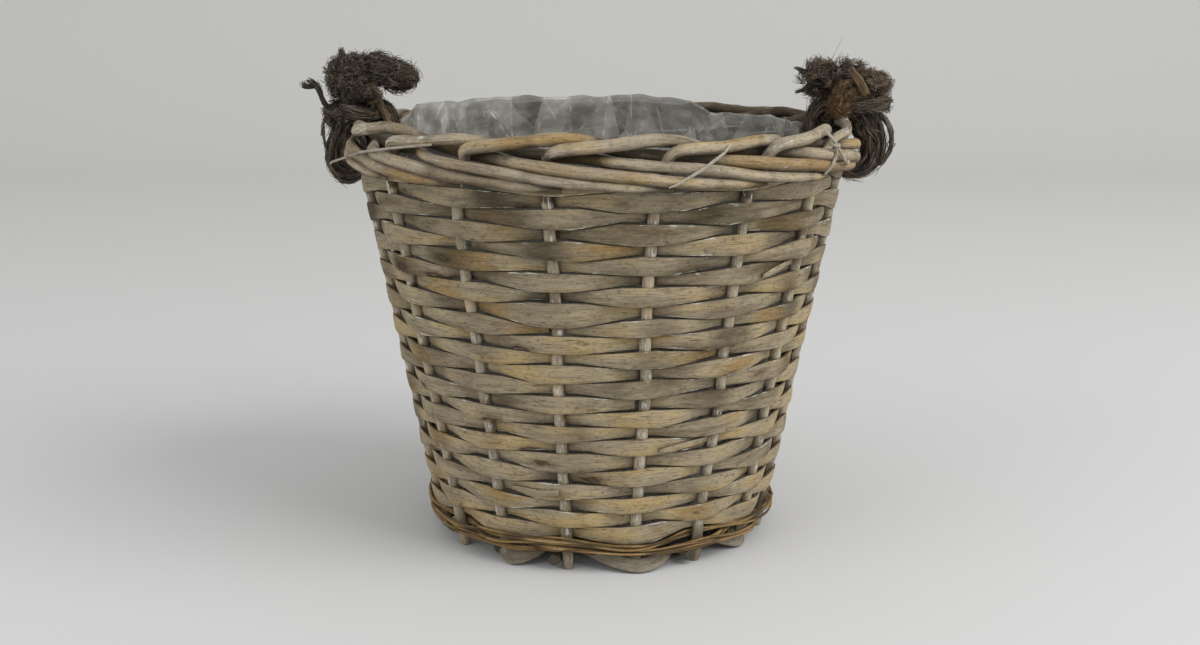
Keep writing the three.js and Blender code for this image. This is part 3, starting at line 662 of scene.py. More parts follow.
# The line between two rows is a zigzag with two corners at every stake. It lies high where the row below
# passes in front and low where it passes behind, by an uneven amount. One row is broad where it passes
# in front of the stake left of the middle.
CORNERS = 2 * STAKES
CORNER_PLACES = np.sort(np.concatenate([np.arange(STAKES) - 0.2, np.arange(STAKES) + 0.2]))
CORNER_SHIFT = rng.uniform(-0.12, 0.12, (ROWS + 1, CORNERS))
CORNER_SWELL = rng.uniform(0.35, 1.75, (ROWS + 1, CORNERS))
CORNER_WANDER = rng.uniform(-0.45, 0.45, (ROWS + 1, CORNERS))
BROAD_ROW, BROAD_CORNERS = 15, [30, 31]
CORNER_SWELL[BROAD_ROW, BROAD_CORNERS] = 3.6
CORNER_SWELL[BROAD_ROW + 1, BROAD_CORNERS] = 2.0
CORNER_SWELL[0] = rng.uniform(0.9, 2.6, CORNERS)


def row_start(row):
    """The stake behind which a row's ends meet"""
    return (3 * row + 5) % STAKES


def in_front(row, place):
    """Triangle wave: 1 where a row passes in front of a stake and -1 where it passes behind one"""
    return 1 - 2 * np.abs(1 - np.mod(place - row_start(row), 2))


def row_line(row, place):
    """Height of the line under a row: a zigzag round an even height that is lower under the ears"""
    side = -np.sign(in_front(row, np.round(CORNER_PLACES)))
    corners = side * CORNER_SWELL[row] + CORNER_WANDER[row]
    places = CORNER_PLACES + CORNER_SHIFT[row]
    zigzag = np.interp(np.mod(place, STAKES), places, corners, period=STAKES)
    pressed = max(0, row - SQUEEZED_FROM) * ROW_PITCH * SQUEEZE * ear_squeeze(stake_angle(place))
    return WALL_BOTTOM + row * ROW_PITCH - pressed + zigzag


# %% Rows
JOIN_GAP = 3.0
STEPS_A_STAKE = 24


def strip_values(place, front, seed_tone):
    """What the shader is told along a strip: tone, golden patches, painted shade beside the stakes with some
    stains, white wash
    """
    tone = np.clip(seed_tone + drift(place, 0.35, 3.3), 0, 1)
    gold = np.clip(drift(place, 0.7, 4.3) - 0.12, 0, 0.7)
    # Painted shade beside each stake where the strip passes behind it
    beside = eased((-front - 0.76) / 0.22)
    dirt = np.clip(beside * 0.8 + np.clip(drift(place, 0.8, 2.6) - 0.05, 0, 1) * 0.6, 0, 1)
    wash = np.clip(0.4 + drift(place, 0.95, 1.7), 0, 1.2)
    return {"tone": tone, "gold": gold, "dirt": dirt, "wash": wash}


def row_skin(row):
    """One strip all the way round. It swings in and out as a cosine mixed with a triangle wave, so that it
    lies straight between two stakes and bends round each one. Lower rows are painted paler and upper ones
    darker, as painted light from the pale floor, and the upper rows have more stains."""
    start = row_start(row)
    gap = JOIN_GAP / (SPACING * stake_line(WALL_BOTTOM))
    place = np.linspace(start + gap, start + STAKES - gap, STEPS_A_STAKE * STAKES)
    front = in_front(row, place)
    swing = 0.5 * front - 0.5 * np.cos((place - start) * math.pi)
    gap_half = 0.22 - 0.14 * np.clip(front, 0, 1)
    low = row_line(row, place) + gap_half
    high = row_line(row + 1, place) - gap_half
    offset = STRIP_SWING * swing + drift(place, 0.25, 4.3)
    # Painted light: rows get paler towards the floor and darker towards the top, and the top rows get more
    # stains
    height = row / (ROWS - 1)
    values = strip_values(place, front, rng.uniform(0.32, 0.92) + 0.6 * (0.63 - height))
    values["dirt"] = values["dirt"] + 0.45 * (height - 0.4)
    thickness = STRIP_THICK + drift(place, 0.2, 6.0)
    tilt = drift(place, 0.1, 2.3)
    return strip(stake_angle(place), low, high, offset, thickness, tilt, start=700.0 * row, **values)


# Ends of strips that show: row, from and to (by stakes), heights above the row's line, shade
SPLICES = [(6, 0.2, 0.98, 1.2, 5.0, 0.8), (17, 1.3, 1.95, 1.4, 5.2, 0.65), (3, -1.75, -1.05, 1.5, 5.4, 0.6),
           (10, 6.25, 6.95, 1.2, 5.4, 0.6), (14, 8.3, 8.95, 1.2, 5.2, 0.5), (5, 11.25, 11.95, 1.2, 5.4, 0.7)]


def splice_skin(row, first, last, low, high, shade):
    """Tail of the next strip where two overlap: it tapers towards its cut end, lies on the row and dips
    behind the stake at its other end"""
    share = np.linspace(0, 1, 24)
    place = np.linspace(first, last, len(share))
    under = row_line(row, place) + low + 1.4 * share
    over = np.minimum(row_line(row, place) + high + 0.6 * share, row_line(row + 1, place) - 0.4)
    middle = (under + over) / 2
    grown = eased(share * 3)
    under = middle + (under - middle) * (0.45 + 0.55 * grown)
    over = middle + (over - middle) * (0.55 + 0.45 * grown)
    offset = STRIP_SWING * in_front(row, place) + 1.7 + 1.2 * (1 - share) ** 2 - 0.6 * share
    # Its cut end is darker: painted shade where it stands off the row, with some stains
    return strip(stake_angle(place), under, over, offset, 1.5, 0.08, start=41000.0 + 300 * row,
                 tone=shade, gold=0.25, dirt=0.55 * (1 - eased(share / 0.12)), wash=0.5)


for row in range(ROWS):
    name = f"weave_row_{row + 1:02d}"
    tails = [splice_skin(*splice) for splice in SPLICES if splice[0] == row]
    piece(f"split_{name}", [row_skin(row), *tails], split_willow, replaced=[name])
print("rows:", ROWS)


def filler_skin(first):
    """A narrower strip in the slot under the border, from just before one stake to just past another"""
    place = np.linspace(first - 0.12, first + STAKES / 2 - 1 + 0.12, 190)
    front = in_front(ROWS, place)
    shown = np.clip(front, 0, 1)
    low = row_line(ROWS, place) + 0.3 - 0.2 * shown
    high = FILLER_TOP + 1.4 * shown
    return strip(stake_angle(place), low, high, STRIP_SWING * front, 1.7, start=31000.0 + 900 * first,
                 **strip_values(place, front, 0.5))


for name, first in (("rim_filler_front", -4), ("rim_filler_back", 4)):
    piece(f"split_{name}", [filler_skin(first)], split_willow, replaced=[name])

# %% [markdown]
# Under the woven wall run three thin brown willow rods, the wale, over two stakes and under one. They
# hang a little lower at the front, between the ends of the base sticks. Each is a rod along a coil, with
# two thin splits that have come loose beside it.

# %% Wale
WALE_PITCH = 2.62
WALE_BOTTOM = box_mm("wale_rod_1")[0, 2] - 0.16
WALE_RODS = 3
WALE_RADIUS = 1.26
WALE_OUT = 4.05
SPLIT_RADIUS = 0.62
SPLIT_HEIGHTS = (1.3, -0.9)
SPLIT_LOWEST = 1.2


def wale_line(place, layer):
    """Height of a wale rod: an even coil that sags towards the front and wanders from stake to stake"""
    from_front = np.mod(stake_angle(place) + math.pi, 2 * math.pi) - math.pi
    sag = (4.8 - 1.6 * layer) * np.exp(-(((from_front - 0.2) / 0.24) ** 2))
    wander = (0.4 + 0.3 * layer) * np.sin(place * 2 * math.pi * 5 / STAKES + 2.1 * layer)
    return WALE_BOTTOM + (layer + 0.5) * WALE_PITCH - sag + 0.7 * wander


def wale_skin(layer):
    """Path: the side changes from out (+1) to in (-1) at every third stake"""
    start = 5 * layer
    gap = JOIN_GAP / (SPACING * stake_line(WALE_BOTTOM))
    place = np.linspace(start + gap, start + STAKES - gap, 16 * STAKES)
    angle = stake_angle(place)
    side = at_places(np.where((np.arange(STAKES) - start) % 3 == 0, -1.0, 1.0), place)
    z = wale_line(place, layer)
    tone = np.clip(0.5 + drift(place, 0.45, 5.0), 0, 1)
    radius = WALE_RADIUS + drift(place, 0.16, 3.0)
    dirt = np.clip(0.3 + drift(place, 0.7, 2.2), 0, 1)
    # under paints shade on the underside of each rod and split
    skins = [rod(polar(angle, stake_line(z) + side * WALE_OUT, z), radius, sides=10,
                 start=51000.0 + 900 * layer, knobs=9, under=0.4, tone=tone, gold=0.3, edge=0.35, dirt=dirt)]
    for k, above in enumerate(SPLIT_HEIGHTS):
        height = np.maximum(z + above + drift(place, 1.7, 4.4), SPLIT_LOWEST)
        path = polar(angle, stake_line(z) + side * 4.3 + 1.0, height)
        radius = SPLIT_RADIUS + drift(place, 0.1, 2.0)
        dirt = np.clip(0.2 + drift(place, 0.6, 1.7), 0, 1)
        skins.append(rod(path, radius, sides=7, start=56000.0 + 900 * (layer + 4 * k), knobs=3, under=0.5,
                         tone=1 - tone, gold=0.5, edge=0.45, dirt=dirt))
    return skins


for layer in range(WALE_RODS):
    name = f"wale_rod_{layer + 1}"
    piece(f"brown_{name}", wale_skin(layer), wale_willow, replaced=[name])
print("wale rods:", WALE_RODS, "splits beside each:", len(SPLIT_HEIGHTS))

# %% [markdown]
# The base is a cross of willow sticks, four over four, opened out into sixteen spokes that end beside
# the stakes. A flat strip winds round them in two rounds, over and under. Only the cut ends of the sticks
# and a few bulging turns of strip show under the wall, but the underside is seen when it is turned over,
# so every stick is a whole rod along a bent path.

# %% Base sticks
STICK_RADIUS = 2.7
CLEARANCE = 0.32
STICK_PITCH = 2 * STICK_RADIUS + CLEARANCE
STICK_END_Z = 5.239
BASE_CROWN = 2.2
STICK_END_RADIUS = stake_line(STICK_END_Z) + 4.8
CUT_SHORT = 4.6
SPOKE_RING = 0.58 * FOOT_RADIUS
SIDE_ANGLE = math.asin((STAKE_RADIUS + STICK_RADIUS + 2 * CLEARANCE) / FOOT_RADIUS)
STICKS_A_LAYER = 4
STICK_STEP = 3.0
STICK_BEND_REACH = 5.0


def spoke_angle(place):
    """Angle of a stick's end: just to the left of a stake"""
    return stake_angle(place) - SIDE_ANGLE


def spoke_height(radius):
    """Height of the sticks' middles: a low dome, straight from the rim of the base to its centre"""
    return STICK_END_Z + BASE_CROWN * (1 - radius / STICK_END_RADIUS)


LONG_ENDS = [STAKES - 1, 1]


def stick_end(place):
    """Distance of a stick's cut end from the middle: most are cut short behind the wale"""
    short = 0.0 if round(place) % STAKES in LONG_ENDS else CUT_SHORT
    return STICK_END_RADIUS - short + rng.uniform(-0.8, 0.4)


def base_stick_skin(first, place, layer):
    """Straight and side by side in the middle, then fanned out to two ends"""
    middle = (STICKS_A_LAYER - 1) / 2
    aside = place - middle
    forward = spoke_angle(first + middle)
    backward = forward + math.pi
    fan = aside * SPACING
    straight = STICKS_A_LAYER / 2 * STICK_PITCH + STICK_RADIUS
    shift = polar(forward + math.pi / 2, aside * STICK_PITCH, spoke_height(0) + layer * STICK_PITCH)
    stops = [
        polar(backward - fan, stick_end(first + middle + STAKES / 2 - aside), STICK_END_Z),
        polar(backward - fan, SPOKE_RING, spoke_height(SPOKE_RING)),
        shift - polar(forward, straight, 0),
        shift + polar(forward, straight, 0),
        polar(forward + fan, SPOKE_RING, spoke_height(SPOKE_RING)),
        polar(forward + fan, stick_end(first + place), STICK_END_Z),
    ]
    path = walked(stops, step=STICK_STEP, reach=STICK_BEND_REACH)
    along = np.linspace(0, len(path) * STICK_STEP, len(path))
    radius = STICK_RADIUS + 0.1 + drift(along, 0.12, 60)
    tone = np.clip(0.45 + drift(along, 0.3, 90), 0, 1)
    return rod(path, radius, reference=(0, 0, 1), start=61000.0 + 900 * (place + 5 * layer), knobs=3,
               tone=tone, gold=0.0, edge=0.3, dirt=0.4)


for layer, word in enumerate(("lower", "upper")):
    for place in range(STICKS_A_LAYER):
        name = f"base_stick_{word}_{place + 1}"
        skins = [base_stick_skin(layer * STICKS_A_LAYER, place, layer)]
        piece(f"grey_{name}", skins, base_willow, replaced=[name])
print("base sticks:", 2 * STICKS_A_LAYER)

# %% Base weavers
WEAVER_WIDTH = 6.4
WEAVER_OUTER = FOOT_RADIUS - STAKE_RADIUS - 2.3 - 2 * CLEARANCE - WEAVER_WIDTH / 2
WEAVER_SWING = 4.2
WEAVER_LOWEST = 0.95
WEAVER_ROUNDS = 1.5


def flat_strip(middle, side, up, half_width, thickness, start, gold=0.0, wash=0.6, **values):
    """Flat strip along a path: a rounded section, half_width x sideways and thickness/2 upwards, where
    x is the cosine's square root with the cosine's sign, and upwards goes the sine"""
    turn = full_turn(14)
    wide = np.sign(np.cos(turn)) * np.abs(np.cos(turn)) ** 0.5
    thick = np.sin(turn)
    half_width = np.reshape(half_width, (-1, 1))
    rings = middle[:, None] + half_width[..., None] * wide[:, None] * side[:, None]
    rings = rings + thickness / 2 * thick[:, None] * up[:, None]
    straight = stacked(lengths_along(middle)[:, None] + start, half_width * wide, thickness / 2 * thick)
    shown = {key: np.reshape(value, (-1, 1)) + 0 * wide for key, value in values.items()}
    return skin(rings, straight, edge=wash * np.abs(wide) ** 6, gold=gold, cut=0.0, **shown)


def weaver_skin(first, side):
    """A spiral, one strip's width inwards a round, that swings over and under the spokes"""
    place = np.linspace(0, WEAVER_ROUNDS * STAKES, 500)
    radius = WEAVER_OUTER - 2 * (WEAVER_WIDTH + CLEARANCE) * place / STAKES
    height = spoke_height(radius) + side * np.cos(place * math.pi) * WEAVER_SWING
    middle = polar(spoke_angle(first + place), radius, np.maximum(height, WEAVER_LOWEST))
    across, third = across_path(middle, middle * [1, 1, 0])
    tone = np.clip(0.4 + drift(place, 0.3, 4), 0, 1)
    return flat_strip(middle, across, third, WEAVER_WIDTH / 2 - 0.05, 1.5, 71000.0 + 900 * first,
                      tone=tone, dirt=0.3)


def fin_skin(from_place, to_place, bulge, width, start):
    """A turn of the base's strip that bulges out under the wale: from behind one stake, out and down to
    the ground, and back behind another. At a share s of the way it has gone out by 1 - |2 s^1.2 - 1|^1.7
    of the bulge, so it is fullest a little past its middle."""
    share = np.linspace(0, 1, 60)
    angle = stake_angle(from_place + (to_place - from_place) * share)
    tent = 1 - np.abs(2 * share**1.2 - 1) ** 1.7
    hidden = stake_line(0) - 5.0
    low = polar(angle, hidden + (bulge + 5.0) * tent, 7.4 - 6.5 * tent)
    high = polar(angle, hidden + (4.0 + 0.3 * bulge) * tent, 8.2)
    high = low + (high - low) * np.minimum(1, width / np.linalg.norm(high - low, axis=-1))[:, None]
    up = unit(high - low)
    sideways = np.cross(unit(np.gradient(low, axis=0)), up)
    half = np.maximum(np.linalg.norm(high - low, axis=-1) / 2, 0.3)
    return flat_strip((low + high) / 2, up, sideways, half, 1.0, start, tone=0.75, dirt=0.1)


# Each bulging turn: from and to (by stakes), how far out, how wide
FINS = [(-2.4, -1.35, 6.5, 10.5), (-0.85, 0.75, 9.0, 7.5), (1.3, 2.4, 4.5, 8.0)]
for letter, first, side in (("a", 0, 1), ("b", STAKES // 2, -1)):
    name = f"base_weaver_{letter}"
    skins = [weaver_skin(first, side)]
    if letter == "a":
        skins += [fin_skin(*fin, start=75000.0 + 300 * k) for k, fin in enumerate(FINS)]
    piece(f"flat_{name}", skins, base_willow, replaced=[name])
print("base weavers: 2, bulging turns:", len(FINS))

# %% [markdown]
# The liner is clear film pushed down inside the basket. It was flat, so it crumples into flat plates with
# sharp creases between them. Cloth simulation gives soft folds, not creases, so the plates are flat
# triangles between uneven corners, and finer creases are slanted triangle waves laid over them.

# %% The film's plates
FILM_FLOOR = box_mm("film_liner")[0, 2]
FILM_FLOOR_RADIUS = 81.38
FILM_TOP_RADIUS = 112.59
FILM_COLUMNS = 40
FILM_ROWS = 6
COLUMNS_PER_QUARTER = 10
PLATE_WIDTH = 17.7
PLATE_HEIGHT = 34.7
PLATE_SLANT = 15.8
PLEAT_DEPTH = 6.0
PLATE_RISE = 4.0
PLATE_SHIFT = 0.25
RIM_TOP = 218.64
FINE_ACROSS = 12
FINE_UP = 14
# At each ear the film is cut out round the rope's loop
NOTCH_HALF_WIDTH = 8.3
NOTCH_FROM = 150
NOTCH_TOP = 186


def uneven(column, row, kind):
    """A fixed unevenness between -1 and 1 for each corner: sin(2.1 column + 1.7 row + kind)"""
    return np.sin(2.1 * column + 1.7 * row + kind)


def film_edge(angle):
    """Height of the film's edge: 10 mm under the border's top, and 2 mm under it round the back"""
    from_back = np.abs(np.degrees(np.mod(angle, 2 * math.pi)) - 202)
    return RIM_TOP - 2 - 8 * eased((from_back - 45) / 12)


def film_corners():
    """Corners of the plates, rows by columns: every second column is pressed inwards and shifted"""
    row, column = np.meshgrid(np.arange(FILM_ROWS + 1), np.arange(FILM_COLUMNS + 1), indexing="ij")
    column = column % FILM_COLUMNS
    odd = column % 2
    beside_ear = np.minimum(column % COLUMNS_PER_QUARTER, -column % COLUMNS_PER_QUARTER) == 1
    depth = odd * (row > 0) * PLEAT_DEPTH * (0.7 + 0.3 * uneven(column, row, 0))
    depth = depth * np.where(beside_ear, 0.2, 1)
    shifted = column + odd * PLATE_SHIFT * uneven(column, row, 1)
    angle = math.radians(45) + shifted * 2 * math.pi / FILM_COLUMNS
    rise = PLATE_RISE * uneven(column, row, 2) * ((row > 0) & (row < FILM_ROWS - 1))
    height = FILM_FLOOR + (WALL_TOP - FILM_FLOOR) * row / (FILM_ROWS - 1) + rise
    height = np.where(row == FILM_ROWS, film_edge(angle), height)
    share = np.clip((height - FILM_FLOOR) / (WALL_TOP - FILM_FLOOR), 0, 1)
    return polar(angle, FILM_FLOOR_RADIUS + (FILM_TOP_RADIUS - FILM_FLOOR_RADIUS) * share - depth, height)


def crease(x):
    """Triangle wave between 0 and 1, sharp at both turns"""
    return 2 * np.abs(x - np.round(x))


def film_wall():
    """The plates in small quads: point (a up, b across) of a plate lies on one of its two triangles, which
    meet along the diagonal that changes direction from plate to plate"""
    corners = film_corners()
    up = np.minimum(np.arange(FILM_ROWS * FINE_UP + 1) / FINE_UP, FILM_ROWS - 1e-9)[:, None]
    across = (np.arange(FILM_COLUMNS * FINE_ACROSS) / FINE_ACROSS)[None]
    row, column = np.broadcast_arrays(np.floor(up).astype(int), np.floor(across).astype(int))
    a, b = (up - row)[..., None], (across - column)[..., None]
    low, low_next = corners[row, column], corners[row, column + 1]
    high, high_next = corners[row + 1, column], corners[row + 1, column + 1]
    falling = np.where(
        a + b <= 1,
        low + a * (high - low) + b * (low_next - low),
        high_next + (1 - a) * (low_next - high_next) + (1 - b) * (high - high_next),
    )
    rising = np.where(
        a >= b,
        low + a * (high - low) + b * (high_next - high),
        low + b * (low_next - low) + a * (high_next - low_next),
    )
    points = np.where(((row + column) % 2 == 0)[..., None], falling, rising)
    return points, np.broadcast_arrays(across, up)


# %% The film's creases


def film_grid():
    """Cup of the film: floor, then the wall's plates with finer creases, cut out round the ears. Beside
    each point goes its place counted in plates, across and up."""
    wall, (across, up) = film_wall()
    around, height = across * PLATE_WIDTH, wall[..., 2]
    length = FILM_COLUMNS * PLATE_WIDTH
    angle = np.arctan2(wall[..., 0], -wall[..., 1])
    slow = np.sin(height / 31 + 2 * np.sin(3 * angle)) + 0.8 * np.sin(5 * angle + height / 53)
    fine = (
        1.5 * crease(around * 29 / length + height / 61 + 0.6 * slow)
        + 1.2 * crease(around * 43 / length - height / 29 + 0.5 * slow)
        + 0.8 * crease(around * 17 / length + height / 15 - 0.7 * slow)
    )
    fine = fine * eased(up / 0.4) * (0.55 + 0.45 * np.sin(2 * angle + height / 40))
    wall = wall - unit(wall * [1, 1, 0]) * (fine * (1 - 0.5 * eased(up - FILM_ROWS + 1)))[..., None]
    wavy = sum(a * np.sin(k * angle + p) for a, k, p in ((0.5, 9, 0.4), (0.4, 23, 2.1), (0.3, 41, 1.0)))
    above = wall[..., 2] - NOTCH_FROM
    at_ear = (np.abs(wall[..., 1]) < NOTCH_HALF_WIDTH) * eased(above / 3)
    squeezed = NOTCH_FROM + above * (NOTCH_TOP - NOTCH_FROM) / (film_edge(angle) - NOTCH_FROM)
    wall[..., 2] = wall[..., 2] + wavy * eased((up - 4.5) / 1.5) + at_ear * (squeezed - wall[..., 2])
    share = np.linspace(0.01, 1, 11)[:-1, None]
    lift = 0.5 * fine[20] * share * (1 - share) * 4
    floor = stacked(wall[0, :, 0] * share, wall[0, :, 1] * share, FILM_FLOOR + lift)
    counted = [stacked(across[0], -share * 3, 0), stacked(across, up, 0)]
    return np.concatenate([floor, wall]), np.concatenate(counted)


points, plate = film_grid()
film_skin = skin(points, plate / MM)
film_skin["faces"] = [film_skin["faces"][0], film_skin["faces"][1][:1]]
print("film surface:", points.shape[0], "x", points.shape[1], "points")

# %% [markdown]
# Thin clear plastic: it shines in flat patches, and the creases have gone milky where it was bent. The flat
# patches also get painted reflection, tall panes each a little lighter or darker. Since "straight" counts
# plates here, the main creases lie at whole numbers across and up, and on diagonals. A glass shader would
# bend the light twice in a sheet this thin, which the eye doesn't see, so the film is a pale shader that
# lets part of what lies behind it show.

# %% Film finish
film, tree, output = new_material("crumpled_clear_film")
place = add(tree, "Attribute", {}, attribute_name="straight").outputs["Vector"]
parts = add(tree, "SeparateXYZ", {0: place}).outputs
in_mm = add(tree, "Mapping", {"Vector": place, "Scale": (PLATE_WIDTH, PLATE_HEIGHT, 1.0)}).outputs[0]
# Each family of creases: a value, half the step from one crease to the next, and how many millimetres 1 is
creases = [(parts[0], 0.5, PLATE_WIDTH), (parts[1], 0.5, PLATE_HEIGHT)]
for direction in ("ADD", "SUBTRACT"):
    slanted = add(tree, "Math", {0: parts[0], 1: parts[1]}, operation=direction).outputs[0]
    slanted = add(tree, "Math", {0: slanted, 1: 1.0}, operation="ADD").outputs[0]
    creases.append((slanted, 1.0, PLATE_SLANT))
near = PLATE_HEIGHT  # further than any crease is
for value, half_step, size in creases:
    beside = add(tree, "Math", {0: value, 1: half_step}, operation="PINGPONG").outputs[0]
    distance = add(tree, "Math", {0: beside, 1: size}, operation="MULTIPLY").outputs[0]
    near = add(tree, "Math", {0: near, 1: distance}, operation="MINIMUM").outputs[0]


def small_plates(size):
    """Irregular cells, each tilted its own way: height = two random slopes times the place in the cell"""
    cells = add(tree, "TexVoronoi", {"Vector": in_mm, "Scale": 1 / size}, feature="F1").outputs
    flat = (1 / size, 1 / size, 0)
    middling = (0.5, 0.5, 0.5)
    inside = add(tree, "VectorMath", {0: in_mm, 1: flat}, operation="MULTIPLY").outputs[0]
    inside = add(tree, "VectorMath", {0: inside, 1: cells["Position"]}, operation="SUBTRACT").outputs[0]
    slopes = add(tree, "VectorMath", {0: cells["Color"], 1: middling}, operation="SUBTRACT").outputs[0]
    return add(tree, "VectorMath", {0: inside, 1: slopes}, operation="DOT_PRODUCT").outputs["Value"]


cloudy = add(tree, "TexNoise", {"Vector": in_mm, "Scale": 0.045, "Detail": 4, "Roughness": 0.6}).outputs[0]
broken = add(tree, "TexNoise", {"Vector": in_mm, "Scale": 0.11, "Detail": 2}).outputs[0]
# Tall panes, each a little lighter or darker: painted reflection of the film's tilted facets
upright = add(tree, "Mapping", {"Vector": in_mm, "Scale": (1 / 15, 1 / 40, 1)}).outputs[0]
panes = add(tree, "TexVoronoi", {"Vector": upright, "Scale": 1}, feature="F1").outputs["Color"]
main_lines = add(tree, "MapRange", {0: near, 1: 0.9, 2: 0.1, 3: 0.0, 4: 1.0}).outputs[0]
gaps = add(tree, "MapRange", {0: broken, 1: 0.5, 2: 0.66, 3: 0.0, 4: 1.0}).outputs[0]
lines = add(tree, "Math", {0: main_lines, 1: gaps}, operation="MULTIPLY").outputs[0]
# Milky creases and clouds, with the panes' painted reflection, lighten the colour and make the film less
# clear
milk_and_painted_sheen = add(tree, "MapRange", {0: cloudy, 1: 0.36, 2: 0.7, 3: -0.15, 4: 0.5}).outputs[0]
milk_and_painted_sheen = add(tree, "Math", {0: panes, 1: 0.55, 2: milk_and_painted_sheen}, operation="MULTIPLY_ADD").outputs[0]
milk_and_painted_sheen = add(tree, "Math", {0: lines, 1: 0.6, 2: milk_and_painted_sheen}, operation="MULTIPLY_ADD", use_clamp=True).outputs[0]
colour = add(tree, "Mix", {0: milk_and_painted_sheen, 6: "6b6961", 7: "c4c1b7"}, data_type="RGBA").outputs[2]
alpha = add(tree, "MapRange", {0: milk_and_painted_sheen, 1: 0.0, 2: 1.0, 3: 0.55, 4: 0.88}).outputs[0]
facets = {0: small_plates(9.0), 1: 0.22, 2: small_plates(24.0)}
facets = add(tree, "Math", facets, operation="MULTIPLY_ADD").outputs[0]
bump = add(tree, "Bump", {"Height": facets, "Strength": 0.8, "Distance": 0.007}).outputs[0]
shader = add(tree, "BsdfPrincipled", {
    "Base Color": colour, "Roughness": 0.3, "Alpha": alpha, "Normal": bump,
})
tree.links.new(shader.outputs[0], output.inputs[0])
print("film finish:", film.name, "with", len(tree.nodes), "nodes")

# %% Film liner
FILM_THICKNESS = 0.12
liner = piece("crumpled_film_liner", [film_skin], film, replaced=["film_liner"], sharp=14.0)
thin = liner.modifiers.new("film_thickness", "SOLIDIFY")
thin.thickness = FILM_THICKNESS * MM
thin.offset = 0
print("film:", liner.name, "faces:", len(liner.data.polygons), "thickness in mm:", FILM_THICKNESS)

# %% [markdown]
# The ears are dark, hairy rope. A bundle of yarns goes round the border's rods, and above it the yarns are
# knotted and brushed out into tufts. A hair system would do, but it isn't kept as a mesh, so each fibre is a
# thin three-sided taper, and thousands of them follow a few curves that are drawn.

# %% Dark rope finish
STREAK_LENGTH, STREAK_WIDTH = 9.0, 0.8


def rope_finish(name, dark, light, ochre):
    """Hairy plant fibre, dyed dark: every fibre has its own shade, some have kept their ochre colour"""
    material, tree, output = new_material(name)
    place = add(tree, "Attribute", {}, attribute_name="straight").outputs["Vector"]
    tone = add(tree, "Attribute", {}, attribute_name="tone").outputs["Fac"]
    warm = add(tree, "Attribute", {}, attribute_name="warm").outputs["Fac"]
    scale = (1 / (STREAK_LENGTH * MM), 1 / (STREAK_WIDTH * MM), 1 / (STREAK_WIDTH * MM))
    lines = add(tree, "Mapping", {"Vector": place, "Scale": scale}).outputs[0]
    lines = add(tree, "TexNoise", {"Vector": lines, "Scale": 1, "Detail": 3, "Roughness": 0.6}).outputs[0]
    streaks = add(tree, "MapRange", {0: lines, 1: 0.34, 2: 0.7, 3: -0.35, 4: 0.45}).outputs[0]
    level = add(tree, "Math", {0: streaks, 1: tone}, operation="ADD", use_clamp=True).outputs[0]
    glint = add(tree, "MapRange", {0: lines, 1: 0.55, 2: 0.75, 3: 0.0, 4: 0.22}).outputs[0]
    dyed_stops = [(0.0, dark), (0.5, light), (1.0, "a39787")]
    undyed_stops = [(0.0, "2c1e12"), (0.5, ochre), (1.0, "c4a576")]
    dyed, undyed = (
        add(tree, "ValToRGB", {0: level}, stops=stops).outputs[0] for stops in (dyed_stops, undyed_stops)
    )
    colour = add(tree, "Mix", {0: glint, 6: dyed, 7: "6b4a30"}, data_type="RGBA").outputs[2]
    colour = add(tree, "Mix", {0: warm, 6: colour, 7: undyed}, data_type="RGBA").outputs[2]
    bump = add(tree, "Bump", {"Height": lines, "Strength": 1.0, "Distance": 0.0006}).outputs[0]
    shader = add(tree, "BsdfPrincipled", {
        "Base Color": colour, "Roughness": 0.8, "Normal": bump, "Specular IOR Level": 0.25,
    })
    tree.links.new(shader.outputs[0], output.inputs[0])
    return material


rope = rope_finish("dark_hairy_rope", dark="181410", light="5f574c", ochre="8c653b")
print("rope finish:", rope.name)

# %% Fibres
BACKWARDS = np.array([0.0, 1.0, 0.05])


def through_four(points, t):
    """Cubic curve through four points at t = 0, 1/3, 2/3 and 1: the sum of each point times its weight"""
    t = np.asarray(t)[..., None]
    a, b, c, d = np.asarray(points, float)
    return (
        a * -4.5 * (t - 1 / 3) * (t - 2 / 3) * (t - 1)
        + b * 13.5 * t * (t - 2 / 3) * (t - 1)
        + c * -13.5 * t * (t - 1 / 3) * (t - 1)
        + d * 4.5 * t * (t - 1 / 3) * (t - 2 / 3)
    )


def in_disc(count):
    """Random points in a circle of radius 1, a little denser at its edge"""
    turn, reach = rng.uniform(0, 2 * math.pi, count), rng.uniform(0, 1, count) ** 0.42
    return np.stack([np.cos(turn), np.sin(turn)], -1) * reach[:, None]


def fibres(paths, width, tone, warm):
    """Thin three-sided tapers along many paths at once; paths is (fibres, points, 3). They are darker at
    the root, where less light gets in, and warmer at the tip."""
    count, steps = paths.shape[:2]
    reference = unit(rng.normal(size=(count, 1, 3)))
    share = np.linspace(0, 1, steps)
    radius = np.reshape(width, (-1, 1)) / 2 * (1 - 0.6 * share**2)
    turn = full_turn(3)
    length = share[:, None] * 20 + rng.uniform(0, 3000, (count, 1, 1))
    warm = np.clip(np.reshape(warm, (-1, 1, 1)) * (0.35 + 0.65 * share[:, None]), 0, 1)
    tone = np.reshape(tone, (-1, 1, 1)) * (0.45 + 0.55 * share[:, None])
    rings = rings_round(paths, radius[..., None], turn, reference)
    return skin(rings, stacked(length, np.cos(turn), np.sin(turn)), tone=tone, warm=warm)


